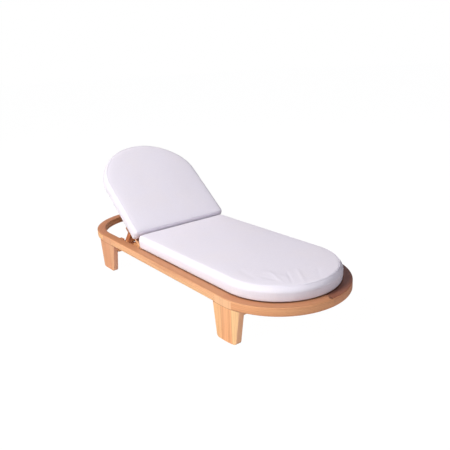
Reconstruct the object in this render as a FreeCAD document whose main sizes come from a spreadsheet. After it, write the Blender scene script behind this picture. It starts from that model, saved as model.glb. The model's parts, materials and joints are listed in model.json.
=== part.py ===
"""Spa relaxation lounger: oval teak ring on four board legs, slatted deck, adjustable D-shaped back.

Millimetres. +X points to the foot end, -X to the head end, +Y to the sitter's left, +Z up.
The origin is on the floor under the middle of the ring.
"""
import FreeCAD, Part
import math
import os
import Sketcher

# Driving dimensions
SIZES = (
    ("ring_length", 2050),
    ("ring_width", 750),
    ("ring_top", 230),
    ("ring_depth", 45),
    ("rail_width", 56),
    ("ring_edge_chamfer", 3.5),
    ("leg_thickness", 32),
    ("leg_corner_round", 16),
    ("tongue_width", 120),
    ("tongue_depth", 20),
    ("tongue_drop", 5),
    ("foot_leg_inset", 259),
    ("foot_leg_width", 183),
    ("foot_leg_inner_taper", 21),
    ("foot_leg_outer_taper", 25),
    ("foot_tongue_inset", 305),
    ("head_leg_inset", 331),
    ("head_leg_width", 197),
    ("head_leg_inner_taper", 40),
    ("head_leg_outer_taper", 20),
    ("head_tongue_inset", 375),
    ("tenon_length", 70),
    ("tenon_height", 28),
    ("tenon_thickness", 12),
    ("tenon_edge", 6),
    ("dowel_radius", 6),
    ("dowel_length", 26),
    ("dowel_edge", 9),
    ("bearer_width", 40),
    ("bearer_drop", 44),
    ("bearer_waist", 21),
    ("bearer_stop_width", 26),
    ("head_bearer_reach", 284),
    ("foot_bearer_inset", 290),
    ("hinge_rail_setback", 10),
    ("hinge_rail_width", 40),
    ("hinge_rail_depth", 51),
    ("ledger_width", 22),
    ("ledger_depth", 20),
    ("deck_drop", 5),
    ("slat_thickness", 14),
    ("slat_gap", 15),
    ("slat_end_gap", 1),
    ("first_slat_setback", 2),
    ("deck_foot_inset", 22),
    ("cushion_gap", 0.3),
    ("seat_thickness", 85),
    ("seat_side_gap", 3),
    ("seat_hinge_gap", 11),
    ("seat_corner", 55),
    ("cushion_edge", 14),
    ("hinge_inset", 774),
    ("hinge_height", 193),
    ("rest_tilt", 38.5),
    ("top_tilt", 45),
    ("low_tilt", 3.5),
    ("back_side_gap", 9),
    ("back_member_width", 55),
    ("back_member_depth", 20),
    ("back_underside", 12),
    ("back_start", 28),
    ("back_shoulder_along", 477),
    ("back_rise_drop", 36),
    ("back_shoulder_inset", 70),
    ("back_rebate", 12),
    ("back_fit", 0.5),
    ("back_tenon_length", 60),
    ("back_tenon_thickness", 10),
    ("back_tenon_width", 28),
    ("ear_length", 60),
    ("ear_radius", 12),
    ("ear_thickness", 25),
    ("block_length", 49),
    ("block_low", 28),
    ("block_high", 10),
    ("washer_radius", 9),
    ("washer_thickness", 1.4),
    ("washer_gap", 0.4),
    ("bolt_radius", 4),
    ("bolt_head_radius", 7),
    ("bolt_head_height", 6),
    ("bolt_cover", 5),
    ("running_gap", 0.05),
    ("face_gap", 0.6),
    ("prop_pivot_along", 190),
    ("prop_pivot_drop", 6),
    ("prop_length", 137),
    ("prop_lean", 51.59),
    ("strut_half_width", 16),
    ("strut_thickness", 22),
    ("strut_inset", 48),
    ("hanger_length", 44),
    ("hanger_drop", 14),
    ("hanger_outer_inset", 2),
    ("bar_radius", 12),
    ("bar_tenon_radius", 8),
    ("rack_width", 22),
    ("rack_bar_inset", 12),
    ("rack_reach", 349),
    ("rack_low", 146),
    ("rack_level_reach", 179),
    ("crest_gap", 1.5),
    ("notch_drop", 6),
    ("notch_play", 0.5),
    ("back_cushion_thickness", 83),
    ("back_cushion_overhang", 12),
    ("back_cushion_start", 80),
    ("back_cushion_shoulder_growth", 10),
    ("back_cushion_corner", 30),
    ("overrun", 5),
)
SEAT_SLATS = 12
BACK_SLATS = 6

# Notch positions, as shares of the tilt that the backrest rests at
notch_tilt_shares = (1.0, 0.8, 0.58)

# A cushion's contour at rising levels: share of its thickness, inset as a share of its edge roll
cushion_level_shares = (
    (0.00, 1.00),
    (0.05, 0.35),
    (0.15, 0.05),
    (0.50, 0.25),
    (0.80, 0.00),
    (0.90, 0.40),
    (0.95, 1.60),
    (1.00, 8.00),
)

START, END, CENTRE = range(1, 4)
TOUCH = 1e-6
SIDES = (("left", 1), ("right", -1))
UP = FreeCAD.Vector(0, 0, 1)
ACROSS = FreeCAD.Vector(0, 1, 0)

doc = FreeCAD.newDocument("Lounger")
sheet = doc.addObject("Spreadsheet::Sheet", "Sizes")
for row, (alias, size) in enumerate(SIZES, start=1):
    sheet.set("A%d" % row, alias)
    sheet.set("B%d" % row, str(size))
    sheet.setAlias("B%d" % row, alias)
doc.recompute()


class Term:
    """A size worked out from the sheet: its value now, and the expression that keeps it bound."""

    def __init__(self, value, text):
        self.value = float(value)
        self.text = text

    def join(self, sign, other, value):
        return Term(value, "(%s %s %s)" % (self.text, sign, term(other).text))

    def __add__(self, other):
        return self.join("+", other, self.value + term(other).value)

    def __radd__(self, other):
        return term(other) + self

    def __sub__(self, other):
        return self.join("-", other, self.value - term(other).value)

    def __rsub__(self, other):
        return term(other) - self

    def __mul__(self, other):
        return self.join("*", other, self.value * term(other).value)

    def __rmul__(self, other):
        return term(other) * self

    def __truediv__(self, other):
        return self.join("/", other, self.value / term(other).value)

    def __neg__(self):
        return self * -1


def term(number):
    """A plain count or share as a Term."""
    return number if isinstance(number, Term) else Term(number, "(%r)" % number)


def cosine(angle):
    return Term(math.cos(math.radians(angle.value)), "cos(%s * 1 deg)" % angle.text)


def sine(angle):
    return Term(math.sin(math.radians(angle.value)), "sin(%s * 1 deg)" % angle.text)


class Sizes:
    """The sheet's aliases as Terms."""

    def __init__(self):
        for alias, _ in SIZES:
            setattr(self, alias, Term(sheet.get(alias), "Sizes.%s" % alias))


s = Sizes()
NIL = term(0)

# Places worked out from the driving dimensions
half_length = s.ring_length / 2
outer = s.ring_width / 2
inner = outer - s.rail_width
centre = half_length - outer
ring_low = s.ring_top - s.ring_depth
leg_inner = outer - s.leg_thickness
deck_top = s.ring_top - s.deck_drop
deck_low = deck_top - s.slat_thickness
slat_reach = inner - s.slat_end_gap
hinge_offset = half_length - s.hinge_inset
seat_rear = hinge_offset - s.seat_hinge_gap
seat_half_width = inner - s.seat_side_gap
hinge_rail_x = s.hinge_rail_setback - seat_rear
head_bearer_x = -hinge_offset - s.head_bearer_reach
back_half_width = inner - s.back_side_gap
back_rise = back_half_width - s.back_rise_drop
back_shoulder_radius = back_half_width - s.back_shoulder_inset
strut_inner = back_half_width - s.strut_inset
rack_outer = strut_inner - s.rack_bar_inset
rack_inner = rack_outer - s.rack_width
ear_outer = strut_inner + s.ear_thickness
block_inner = ear_outer + s.washer_gap + s.washer_thickness
strut_outer = strut_inner + s.strut_thickness
hanger_inner = strut_outer + s.face_gap
hanger_outer = back_half_width - s.hanger_outer_inset
back_top = s.back_underside + s.back_member_depth
back_inner = back_half_width - s.back_member_width
field_inset = s.back_member_width - s.back_rebate
bore_radius = s.bolt_radius + s.running_gap
coupling = (s.prop_lean + s.rest_tilt) / s.rest_tilt

nodes = {}


def vector(x, y):
    return FreeCAD.Vector(x.value, y.value, 0)


def bind(thing, name, size):
    thing.setExpression(name, size.text)


def keep(label, thing):
    """Enter a finished piece in the list of sub-parts."""
    thing.Label = label
    nodes[label] = thing
    return thing


def hang(thing, x, z, angle):
    """Place a piece that was drawn about its own pivot: move it to (x, z) and tilt it about +Y."""
    place = FreeCAD.Placement(FreeCAD.Vector(x.value, 0, z.value), FreeCAD.Rotation(ACROSS, angle.value))
    thing.Placement = place
    bind(thing, "Placement.Base.x", x)
    bind(thing, "Placement.Base.z", z)
    bind(thing, "Placement.Rotation.Angle", angle)
    return thing


def hang_back(thing):
    return hang(thing, -hinge_offset, s.hinge_height, s.rest_tilt)


def pivot_at(tilt):
    """The prop's upper pivot when the back stands at a tilt."""
    x = -hinge_offset - s.prop_pivot_along * cosine(tilt) - s.prop_pivot_drop * sine(tilt)
    z = s.hinge_height + s.prop_pivot_along * sine(tilt) - s.prop_pivot_drop * cosine(tilt)
    return x, z


def foot_at(tilt):
    """The axis of the prop's foot bar at a tilt: the prop turns with the back at a steady ratio."""
    x, z = pivot_at(tilt)
    lean = coupling * tilt - tilt
    return x - s.prop_length * cosine(lean), z - s.prop_length * sine(lean)


def hang_prop(thing):
    x, z = pivot_at(s.rest_tilt)
    return hang(thing, x, z, -s.prop_lean)


def new_body(name):
    return doc.addObject("PartDesign::Body", name)


def new_sketch(part, role, lift=NIL):
    """A sketch on one of the body's own origin planes, lifted along the plane's normal."""
    sketch = part.newObject("Sketcher::SketchObject", part.Name + "_sketch")
    plane = [item for item in part.Origin.OriginFeatures if item.Role == role][0]
    sketch.AttachmentSupport = (plane, [""])
    sketch.MapMode = "FlatFace"
    sketch.AttachmentOffset = FreeCAD.Placement(UP * lift.value, FreeCAD.Rotation())
    bind(sketch, "AttachmentOffset.Base.z", lift)
    return sketch


def pin(sketch, size, kind, *where):
    """Add a dimension to a sketch and bind it to its size."""
    index = sketch.addConstraint(Sketcher.Constraint(kind, *where, size.value))
    sketch.setExpression("Constraints[%d]" % index, size.text)


def outline(sketch, corners):
    """A closed outline. Each corner is (x, y, arc): arc is None where a straight edge leaves the
    corner, or (radius, centre x, centre y) of the round edge, of under half a circle, that does."""
    first = sketch.GeometryCount
    count = len(corners)
    ends = []
    for index, (x, y, arc) in enumerate(corners):
        begin = vector(x, y)
        stop = vector(*corners[(index + 1) % count][:2])
        if arc is None:
            sketch.addGeometry(Part.LineSegment(begin, stop), False)
            ends.append((START, END))
            continue
        radius, centre_x, centre_y = arc
        hub = vector(centre_x, centre_y)
        low = math.atan2(begin.y - hub.y, begin.x - hub.x)
        high = math.atan2(stop.y - hub.y, stop.x - hub.x)
        forward = (high - low) % (2 * math.pi) < math.pi
        if not forward:
            low, high = high, low
        sketch.addGeometry(Part.ArcOfCircle(Part.Circle(hub, UP, radius.value), low, high), False)
        ends.append((START, END) if forward else (END, START))
        pin(sketch, radius, "Radius", first + index)
    for index, (x, y, _) in enumerate(corners):
        before = (index - 1) % count
        edge = first + index
        joined = (first + before, ends[before][1], edge, ends[index][0])
        sketch.addConstraint(Sketcher.Constraint("Coincident", *joined))
        pin(sketch, x, "DistanceX", -1, 1, edge, ends[index][0])
        pin(sketch, y, "DistanceY", -1, 1, edge, ends[index][0])
    return sketch


def rectangle(sketch, x0, y0, x1, y1):
    return outline(sketch, [(x0, y0, None), (x1, y0, None), (x1, y1, None), (x0, y1, None)])


def circle(sketch, x, y, radius):
    """A round hole or disc in a sketch."""
    index = sketch.addGeometry(Part.Circle(vector(x, y), UP, radius.value), False)
    pin(sketch, radius, "Radius", index)
    pin(sketch, x, "DistanceX", -1, 1, index, CENTRE)
    pin(sketch, y, "DistanceY", -1, 1, index, CENTRE)
    return sketch


def pad(part, sketch, length):
    feature = part.newObject("PartDesign::Pad", part.Name + "_pad")
    feature.Profile = sketch
    feature.Length = length.value
    bind(feature, "Length", length)
    return feature


def pocket(part, sketch, length, symmetric=False):
    feature = part.newObject("PartDesign::Pocket", part.Name + "_pocket")
    feature.Profile = sketch
    feature.Length = length.value
    bind(feature, "Length", length)
    if symmetric:
        feature.SideType = "Symmetric"
    return feature


def dress_edges(part, base, kind, field, size, wanted):
    """Fillet or chamfer the edges of a feature that the test picks."""
    doc.recompute()
    names = ["Edge%d" % (number + 1) for number, edge in enumerate(base.Shape.Edges) if wanted(edge)]
    feature = part.newObject("PartDesign::" + kind, part.Name + "_eased")
    feature.Base = (base, names)
    setattr(feature, field, size.value)
    bind(feature, field, size)
    return feature


def round_edges(part, base, radius, wanted):
    return dress_edges(part, base, "Fillet", "Radius", radius, wanted)


def chamfer_edges(part, base, size, wanted):
    return dress_edges(part, base, "Chamfer", "Size", size, wanted)


def box(name, x0, x1, y0, y1, z0, z1):
    """A plain squared piece between two values on each axis."""
    block = doc.addObject("Part::Box", name)
    for side, size in (("Length", x1 - x0), ("Width", y1 - y0), ("Height", z1 - z0)):
        setattr(block, side, size.value)
        bind(block, side, size)
    block.Placement.Base = FreeCAD.Vector(x0.value, y0.value, z0.value)
    for axis, size in (("x", x0), ("y", y0), ("z", z0)):
        bind(block, "Placement.Base.%s" % axis, size)
    return block


def rod(name, x, z, y0, y1, radius):
    """A round bar along Y."""
    bar = doc.addObject("Part::Cylinder", name)
    for field, size in (("Radius", radius), ("Height", y1 - y0)):
        setattr(bar, field, size.value)
        bind(bar, field, size)
    bar.Placement = FreeCAD.Placement(FreeCAD.Vector(x.value, y0.value, z.value), FreeCAD.Rotation(UP, ACROSS))
    for axis, size in (("x", x), ("y", y0), ("z", z)):
        bind(bar, "Placement.Base.%s" % axis, size)
    return bar


def group(name, things, kind="Part::Compound", field="Links"):
    joined = doc.addObject(kind, name)
    setattr(joined, field, things)
    return joined


def fuse(name, things):
    return group(name, things, "Part::MultiFuse", "Shapes")


def cut(name, base, tool):
    result = doc.addObject("Part::Cut", name)
    result.Base = base
    result.Tool = tool
    return result


def common(name, base, tool):
    result = doc.addObject("Part::Common", name)
    result.Base = base
    result.Tool = tool
    return result


def span(sign, near, far):
    """The lower and upper y of a piece that lies between two distances from the middle plane."""
    return (near, far) if sign > 0 else (-far, -near)


def is_level(edge):
    return abs(edge.Vertexes[0].Z - edge.Vertexes[-1].Z) < TOUCH


# Ring: two straight rails and four quarter arcs, with loose tenons in the joints
def leg_places(end):
    """Signed x of a leg's outer and inner edges and of its tongue's two edges."""
    if end == "foot":
        far = half_length - s.foot_leg_inset
        tongue = half_length - s.foot_tongue_inset
        return far, far - s.foot_leg_width, tongue, tongue - s.tongue_width
    far = s.head_leg_inset - half_length
    tongue = s.head_tongue_inset - half_length
    return far, far + s.head_leg_width, tongue, tongue + s.tongue_width


def make_tenons():
    """Loose tenons, set on edge: one across each rail joint, one across the joint at each end of the ring."""
    low = ring_low + (s.ring_depth - s.tenon_height) / 2
    high = low + s.tenon_height
    near = inner + s.tenon_edge
    far = near + s.tenon_thickness
    half = s.tenon_length / 2
    pieces = []
    for end in (1, -1):
        joint = centre * end
        for _, sign in SIDES:
            y0, y1 = span(sign, near, far)
            pieces.append(box("ring_tenon", joint - half, joint + half, y0, y1, low, high))
        x0, x1 = (centre + near, centre + far) if end > 0 else (-centre - far, -centre - near)
        pieces.append(box("ring_tenon", x0, x1, -half, half, low, high))
    return keep("ring_tenons", group("ring_tenons", pieces))


def make_dowels():
    """A blind dowel through each leg's tongue into the ring."""
    level = ring_low + s.ring_depth / 2
    pieces = []
    for end in ("foot", "head"):
        _, _, tongue_far, tongue_near = leg_places(end)
        middle = (tongue_far + tongue_near) / 2
        for _, sign in SIDES:
            y0, y1 = span(sign, outer - s.dowel_edge - s.dowel_length, outer - s.dowel_edge)
            pieces.append(rod("leg_dowel", middle, level, y0, y1, s.dowel_radius))
    return keep("leg_dowels", group("leg_dowels", pieces))


def stadium(name, reach, low, height, inside=None):
    """An oval that keeps a distance from the ring's spine, or the band between it and a second one."""
    part = new_body(name)
    sketch = new_sketch(part, "XY_Plane", low)
    for r in [reach] if inside is None else [reach, inside]:
        outline(sketch, [
            (-centre, r, None),
            (centre, r, (r, centre, NIL)),
            (centre + r, NIL, (r, centre, NIL)),
            (centre, -r, None),
            (-centre, -r, (r, -centre, NIL)),
            (-centre - r, NIL, (r, -centre, NIL)),
        ])
    pad(part, sketch, height)
    return part


def make_notches():
    """What the four tongues take out of the ring's outer face."""
    low = ring_low - s.overrun
    band = stadium("notch_band", outer + s.overrun, low, s.ring_depth + s.overrun - s.tongue_drop,
                   outer - s.tongue_depth)
    pieces = []
    for end in ("foot", "head"):
        _, _, far, near = leg_places(end)
        x0, x1 = (near, far) if end == "foot" else (far, near)
        reach = box("notch_range", x0, x1, -s.ring_width, s.ring_width, low, s.ring_top)
        pieces.append(common("notch", band, reach))
    return pieces


ring_tenons = make_tenons()
leg_dowels = make_dowels()
joinery = group("joinery", [ring_tenons, leg_dowels] + make_notches())


def make_rail(side, sign):
    part = new_body("rail_body")
    y0, y1 = span(sign, inner, outer)
    base = pad(part, rectangle(new_sketch(part, "XY_Plane", ring_low), -centre, y0, centre, y1), s.ring_depth)
    chamfer_edges(part, base, s.ring_edge_chamfer,
                  lambda edge: is_level(edge) and edge.BoundBox.XLength > edge.BoundBox.YLength)
    keep("rail_" + side, cut("rail", part, joinery))


def make_arc(end, side, sign):
    """A quarter of the ring's round end."""
    part = new_body("arc_body")
    way = 1 if end == "foot" else -1
    hub = centre * way
    sketch = new_sketch(part, "XY_Plane", ring_low)
    outline(sketch, [
        (hub, inner * sign, (inner, hub, NIL)),
        (hub + inner * way, NIL, None),
        (hub + outer * way, NIL, (outer, hub, NIL)),
        (hub, outer * sign, None),
    ])
    base = pad(part, sketch, s.ring_depth)
    chamfer_edges(part, base, s.ring_edge_chamfer,
                  lambda edge: is_level(edge) and edge.Curve.TypeId == "Part::GeomCircle")
    keep("%s_arc_%s" % (end, side), cut("arc", part, joinery))


def make_leg(end, side, sign):
    """A board leg: its outer face follows the ring, both edges taper, a tongue enters the ring."""
    far, near, tongue_far, tongue_near = leg_places(end)
    inner_taper = s.foot_leg_inner_taper if end == "foot" else s.head_leg_inner_taper
    outer_taper = s.foot_leg_outer_taper if end == "foot" else s.head_leg_outer_taper
    way = 1 if end == "foot" else -1
    hub = centre * way
    part = new_body("leg_body")
    for inside, low, height in ((leg_inner, NIL, ring_low),
                                (outer - s.tongue_depth, ring_low, s.ring_depth - s.tongue_drop)):
        sketch = outline(new_sketch(part, "XY_Plane", low), [
            (NIL, outer * sign, None),
            (hub, outer * sign, (outer, hub, NIL)),
            (hub + outer * way, NIL, None),
            (hub + inside * way, NIL, (inside, hub, NIL)),
            (hub, inside * sign, None),
            (NIL, inside * sign, None),
        ])
        pad(part, sketch, height)
    taper = new_sketch(part, "XZ_Plane")
    for edge, tongue, limit, step, lean in (
            (near, tongue_near, -s.overrun * way, -way, inner_taper),
            (far, tongue_far, hub + (outer + s.overrun) * way, way, outer_taper)):
        outline(taper, [
            (tongue, ring_low, None),
            (edge, ring_low, None),
            (edge - lean * step, NIL, None),
            (edge - lean * step, -s.overrun, None),
            (limit, -s.overrun, None),
            (limit, s.ring_top, None),
            (tongue, s.ring_top, None),
        ])
    tapered = pocket(part, taper, s.ring_width * 2, symmetric=True)
    round_edges(part, tapered, s.leg_corner_round,
                lambda edge: edge.BoundBox.ZMax < TOUCH and edge.BoundBox.XLength < TOUCH)
    keep("%s_leg_%s" % (end, side), cut("leg", part, leg_dowels))


# Bearers, hinge rail and ledgers under the deck
def make_head_bearer():
    """Stepped bearer under the ring: low in the middle, where the prop folds, with a stop at each end
    that the lowered back comes down to."""
    part = new_body("head_bearer_body")
    x0 = head_bearer_x
    reach = s.head_bearer_reach - s.bearer_width
    low = ring_low - s.bearer_drop
    waist = low + s.bearer_waist
    stop_out = inner - s.cushion_gap
    stop_in = stop_out - s.bearer_stop_width
    stop_top = s.hinge_height + s.back_underside + reach * sine(s.low_tilt) - s.cushion_gap
    half = [(leg_inner, low), (leg_inner, ring_low), (stop_out, ring_low), (stop_out, stop_top),
            (stop_in, stop_top), (stop_in, waist)]
    corners = [(y, z, None) for y, z in half] + [(-y, z, None) for y, z in reversed(half)]
    pad(part, outline(new_sketch(part, "YZ_Plane", x0), corners), s.bearer_width)
    field = stadium("head_bearer_field", leg_inner, low, stop_top - low)
    keep("head_bearer", common("head_bearer", part, field))


def make_foot_bearer():
    """Bearer between the foot legs, its ends cut to the legs' inner curve."""
    x1 = half_length - s.foot_bearer_inset
    x0 = x1 - s.bearer_width
    low = ring_low - s.bearer_drop
    field = stadium("foot_bearer_field", leg_inner, low, s.bearer_drop)
    keep("foot_bearer", common("foot_bearer", box("bearer", x0, x1, -outer, outer, low, ring_low), field))


def make_ledgers():
    """Strips on the ring's inner face that carry the seat slats."""
    low = deck_low - s.ledger_depth
    for side, sign in SIDES:
        y0, y1 = span(sign, inner - s.ledger_width, inner)
        keep("ledger_" + side, box("ledger", hinge_rail_x + s.hinge_rail_width, centre, y0, y1, low, deck_low))
    part = new_body("ledger_foot")
    small = inner - s.ledger_width
    sketch = new_sketch(part, "XY_Plane", low)
    outline(sketch, [
        (centre, small, (small, centre, NIL)),
        (centre + small, NIL, (small, centre, NIL)),
        (centre, -small, None),
        (centre, -inner, (inner, centre, NIL)),
        (centre + inner, NIL, (inner, centre, NIL)),
        (centre, inner, None),
    ])
    pad(part, sketch, s.ledger_depth)
    keep("ledger_foot", part)


def make_slats(name, count, start, stop, field, y_reach, low, hung):
    """Evenly spaced cross slats, each trimmed to the field that its frame leaves open."""
    width = (stop - start - s.slat_gap * (count - 1)) / count
    for index in range(count):
        x0 = start + (width + s.slat_gap) * index
        plank = box("plank", x0, x0 + width, -y_reach, y_reach, low, low + s.slat_thickness)
        slat = common("slat", plank, field)
        if hung:
            hang_back(slat)
        keep("%s_%02d" % (name, index + 1), slat)


def make_seat_deck():
    field = new_body("seat_field")
    rear = hinge_rail_x + s.first_slat_setback
    outline(new_sketch(field, "XY_Plane", deck_low), [
        (rear, slat_reach, None),
        (centre, slat_reach, (slat_reach, centre, NIL)),
        (centre + slat_reach, NIL, (slat_reach, centre, NIL)),
        (centre, -slat_reach, None),
        (rear, -slat_reach, None),
    ])
    pad(field, field.Group[0], s.slat_thickness)
    make_slats("seat_slat", SEAT_SLATS, rear, centre + inner - s.deck_foot_inset, field, slat_reach,
               deck_low, False)


# Backrest frame, drawn lying flat about its pivot: -X runs up the back, Z is square to it
def arch(half_width, rise, shoulder, along, inset):
    """A three-centred arch: a shoulder arc on each side and a crown arc, all set in by the same amount.
    Gives the shoulder and crown centres and radii and the point where they meet."""
    side = half_width - shoulder
    crown = (side * side + rise * rise - shoulder * shoulder) / ((rise - shoulder) * 2)
    share = (shoulder - inset) / (crown - shoulder)
    meet_x = -(along + (crown - rise) * share)
    meet_y = side + side * share
    shoulder_arc = (shoulder - inset, -along, side)
    crown_arc = (crown - inset, -(along + rise - crown), NIL)
    return shoulder_arc, crown_arc, (meet_x, meet_y), -(along + rise - inset)


def mirrored(arc):
    return arc[0], arc[1], -arc[2]


def arched_outline(sketch, start, half_width, rise, shoulder, along, inset, corner=None):
    """A D-shaped outline, set in all round, with its two lower corners square or rounded."""
    shoulder_arc, crown_arc, (meet_x, meet_y), _ = arch(half_width, rise, shoulder, along, inset)
    side = half_width - inset
    low = -(start + inset)
    top = [
        (-along, side, shoulder_arc),
        (meet_x, meet_y, crown_arc),
        (meet_x, -meet_y, mirrored(shoulder_arc)),
        (-along, -side, None),
    ]
    if corner is None:
        return outline(sketch, top + [(-start, -side, None), (-start, side, None)])
    return outline(sketch, top + [
        (low - corner, -side, (corner, low - corner, corner - side)),
        (low, corner - side, None),
        (low, side - corner, (corner, low - corner, side - corner)),
        (low - corner, side, None),
    ])


def quarter_band(sketch, sign, outset, inset):
    """Half of the arch between two insets, from the shoulder to the crown."""
    sizes = (back_half_width, back_rise, back_shoulder_radius, s.back_shoulder_along)
    out_arc, out_crown, (out_x, out_y), out_top = arch(*sizes, outset)
    in_arc, in_crown, (in_x, in_y), in_top = arch(*sizes, inset)
    flip = (lambda arc: arc) if sign > 0 else mirrored
    along = -s.back_shoulder_along
    return outline(sketch, [
        (along, (back_half_width - outset) * sign, flip(out_arc)),
        (out_x, out_y * sign, out_crown),
        (out_top, NIL, None),
        (in_top, NIL, in_crown),
        (in_x, in_y * sign, flip(in_arc)),
        (along, (back_half_width - inset) * sign, None),
    ])


def make_back_tenons():
    """Loose tenons of the back frame: at the two shoulders, the crown and the two lower corners."""
    middle = s.back_underside + s.back_member_depth / 2
    low, high = middle - s.back_tenon_thickness / 2, middle + s.back_tenon_thickness / 2
    half = s.back_tenon_length / 2
    far = back_half_width - s.back_rebate
    near = far - s.back_tenon_width
    along = -s.back_shoulder_along
    pieces = []
    for _, sign in SIDES:
        y0, y1 = span(sign, near, far)
        pieces.append(box("back_tenon", along - half, along + half, y0, y1, low, high))
        y0, y1 = span(sign, back_inner - half, back_inner + half)
        start = -(s.back_start + s.back_rebate)
        pieces.append(box("back_tenon", start - s.back_tenon_width, start, y0, y1, low, high))
    crown = -(s.back_shoulder_along + back_rise - s.back_rebate)
    pieces.append(box("back_tenon", crown, crown + s.back_tenon_width, -half, half, low, high))
    return pieces


def make_back_frame():
    """Stiles, arch halves and lower rail, rebated along the inside for the slats."""
    pieces = make_back_tenons()
    tenons = group("back_joinery", pieces)
    rebate_low = back_top - s.slat_thickness
    lower_end = -(s.back_start + s.back_member_width)
    for side, sign in SIDES:
        part = new_body("back_stile_body")
        y0, y1 = span(sign, back_inner, back_half_width)
        sketch = new_sketch(part, "XY_Plane", s.back_underside)
        pad(part, rectangle(sketch, -s.back_shoulder_along, y0, -s.back_start, y1), s.back_member_depth)
        rebate = new_sketch(part, "XY_Plane", back_top)
        y0, y1 = span(sign, back_inner - s.overrun, back_inner + s.back_rebate)
        pocket(part, rectangle(rebate, -s.back_shoulder_along - s.overrun, y0, lower_end, y1), s.slat_thickness)
        keep("back_stile_" + side, hang_back(cut("back_stile", part, tenons)))

        part = new_body("back_arch_body")
        pad(part, quarter_band(new_sketch(part, "XY_Plane", s.back_underside), sign, NIL, s.back_member_width),
            s.back_member_depth)
        rebate = new_sketch(part, "XY_Plane", back_top)
        pocket(part, quarter_band(rebate, sign, field_inset, s.back_member_width + s.overrun), s.slat_thickness)
        keep("back_arch_" + side, hang_back(cut("back_arch", part, tenons)))
    rail = box("back_rail_blank", lower_end, -s.back_start, -back_inner, back_inner, s.back_underside, back_top)
    keep("back_lower_rail", hang_back(cut("back_lower_rail", rail, tenons)))

    field = new_body("back_field")
    sketch = new_sketch(field, "XY_Plane", rebate_low)
    arched_outline(sketch, -lower_end, back_half_width, back_rise, back_shoulder_radius,
                   s.back_shoulder_along, field_inset + s.back_fit)
    pad(field, sketch, s.slat_thickness)
    crown_inside = -(s.back_shoulder_along + back_rise - s.back_member_width)
    make_slats("back_slat", BACK_SLATS, crown_inside + s.slat_gap, lower_end - s.slat_gap, field,
               back_half_width, rebate_low, True)
    keep("back_tenons", hang_back(group("back_tenons", pieces)))


def make_ear(side, sign):
    """Hinge ear under the stile's lower end, rounded about the pivot."""
    part = new_body("hinge_ear")
    y0, y1 = span(sign, strut_inner, ear_outer)
    r = s.ear_radius
    sketch = new_sketch(part, "XZ_Plane", -y1)
    outline(sketch, [
        (-s.ear_length, -r, None),
        (NIL, -r, (r, NIL, NIL)),
        (r, NIL, (r, NIL, NIL)),
        (NIL, r, None),
        (-s.ear_length, s.back_underside, None),
    ])
    circle(sketch, NIL, NIL, bore_radius)
    pad(part, sketch, y1 - y0)
    keep("hinge_ear_" + side, hang_back(part))


def make_hanger(side, sign):
    """Block under the stile that carries the prop's pivot bolt."""
    part = new_body("prop_hanger")
    y0, y1 = span(sign, hanger_inner, hanger_outer)
    half = s.hanger_length / 2
    low = -(s.prop_pivot_drop + s.hanger_drop)
    sketch = new_sketch(part, "XZ_Plane", -y1)
    rectangle(sketch, -s.prop_pivot_along - half, low, -s.prop_pivot_along + half, s.back_underside)
    circle(sketch, -s.prop_pivot_along, -s.prop_pivot_drop, bore_radius)
    pad(part, sketch, y1 - y0)
    keep("prop_hanger_" + side, hang_back(part))


def make_block(side, sign):
    """Hardwood block on the rail's inner face that carries the back's pivot bolt."""
    part = new_body("pivot_block")
    y0, y1 = span(sign, block_inner, inner)
    sketch = new_sketch(part, "XZ_Plane", -y1)
    rectangle(sketch, hinge_rail_x - s.block_length, s.hinge_height - s.block_low,
              hinge_rail_x, s.hinge_height + s.block_high)
    circle(sketch, -hinge_offset, s.hinge_height, bore_radius)
    pad(part, sketch, y1 - y0)
    keep("pivot_block_" + side, part)


def make_bolts(name, x, z, shank_end):
    """A pair of pivot bolts, put in from the inside: a button head, then the shank."""
    pieces = []
    head_top = strut_inner - s.washer_gap
    for _, sign in SIDES:
        y0, y1 = span(sign, head_top - s.bolt_head_height, head_top)
        head = rod("bolt_head", x, z, y0, y1, s.bolt_head_radius)
        y0, y1 = span(sign, head_top - s.bolt_head_height / 2, shank_end)
        pieces.append(fuse("bolt", [head, rod("bolt_shank", x, z, y0, y1, s.bolt_radius)]))
    return keep(name, group(name, pieces))


def make_washers():
    """A nylon washer between each hinge ear and its block."""
    pieces = []
    for _, sign in SIDES:
        part = new_body("washer")
        y0, y1 = span(sign, block_inner - s.washer_thickness, block_inner)
        sketch = new_sketch(part, "XZ_Plane", -y1)
        circle(sketch, -hinge_offset, s.hinge_height, s.washer_radius)
        circle(sketch, -hinge_offset, s.hinge_height, bore_radius)
        pad(part, sketch, y1 - y0)
        pieces.append(part)
    keep("pivot_washers", group("pivot_washers", pieces))


# Prop: two struts and a round foot bar, drawn about the upper pivot with -X towards the foot
def make_prop():
    r = s.strut_half_width
    reach = -s.prop_length
    for side, sign in SIDES:
        part = new_body("prop_strut")
        y0, y1 = span(sign, strut_inner, strut_outer)
        sketch = new_sketch(part, "XZ_Plane", -y1)
        outline(sketch, [
            (reach, -r, None),
            (NIL, -r, (r, NIL, NIL)),
            (r, NIL, (r, NIL, NIL)),
            (NIL, r, None),
            (reach, r, (r, reach, NIL)),
            (reach - r, NIL, (r, reach, NIL)),
        ])
        circle(sketch, NIL, NIL, bore_radius)
        circle(sketch, reach, NIL, s.bar_tenon_radius + s.running_gap)
        pad(part, sketch, y1 - y0)
        keep("prop_strut_" + side, hang_prop(part))
    bar = rod("bar", reach, NIL, -strut_inner, strut_inner, s.bar_radius)
    tenon = rod("bar_tenon", reach, NIL, -strut_outer, strut_outer, s.bar_tenon_radius)
    keep("prop_foot_bar", hang_prop(fuse("prop_foot_bar", [bar, tenon])))


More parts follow.
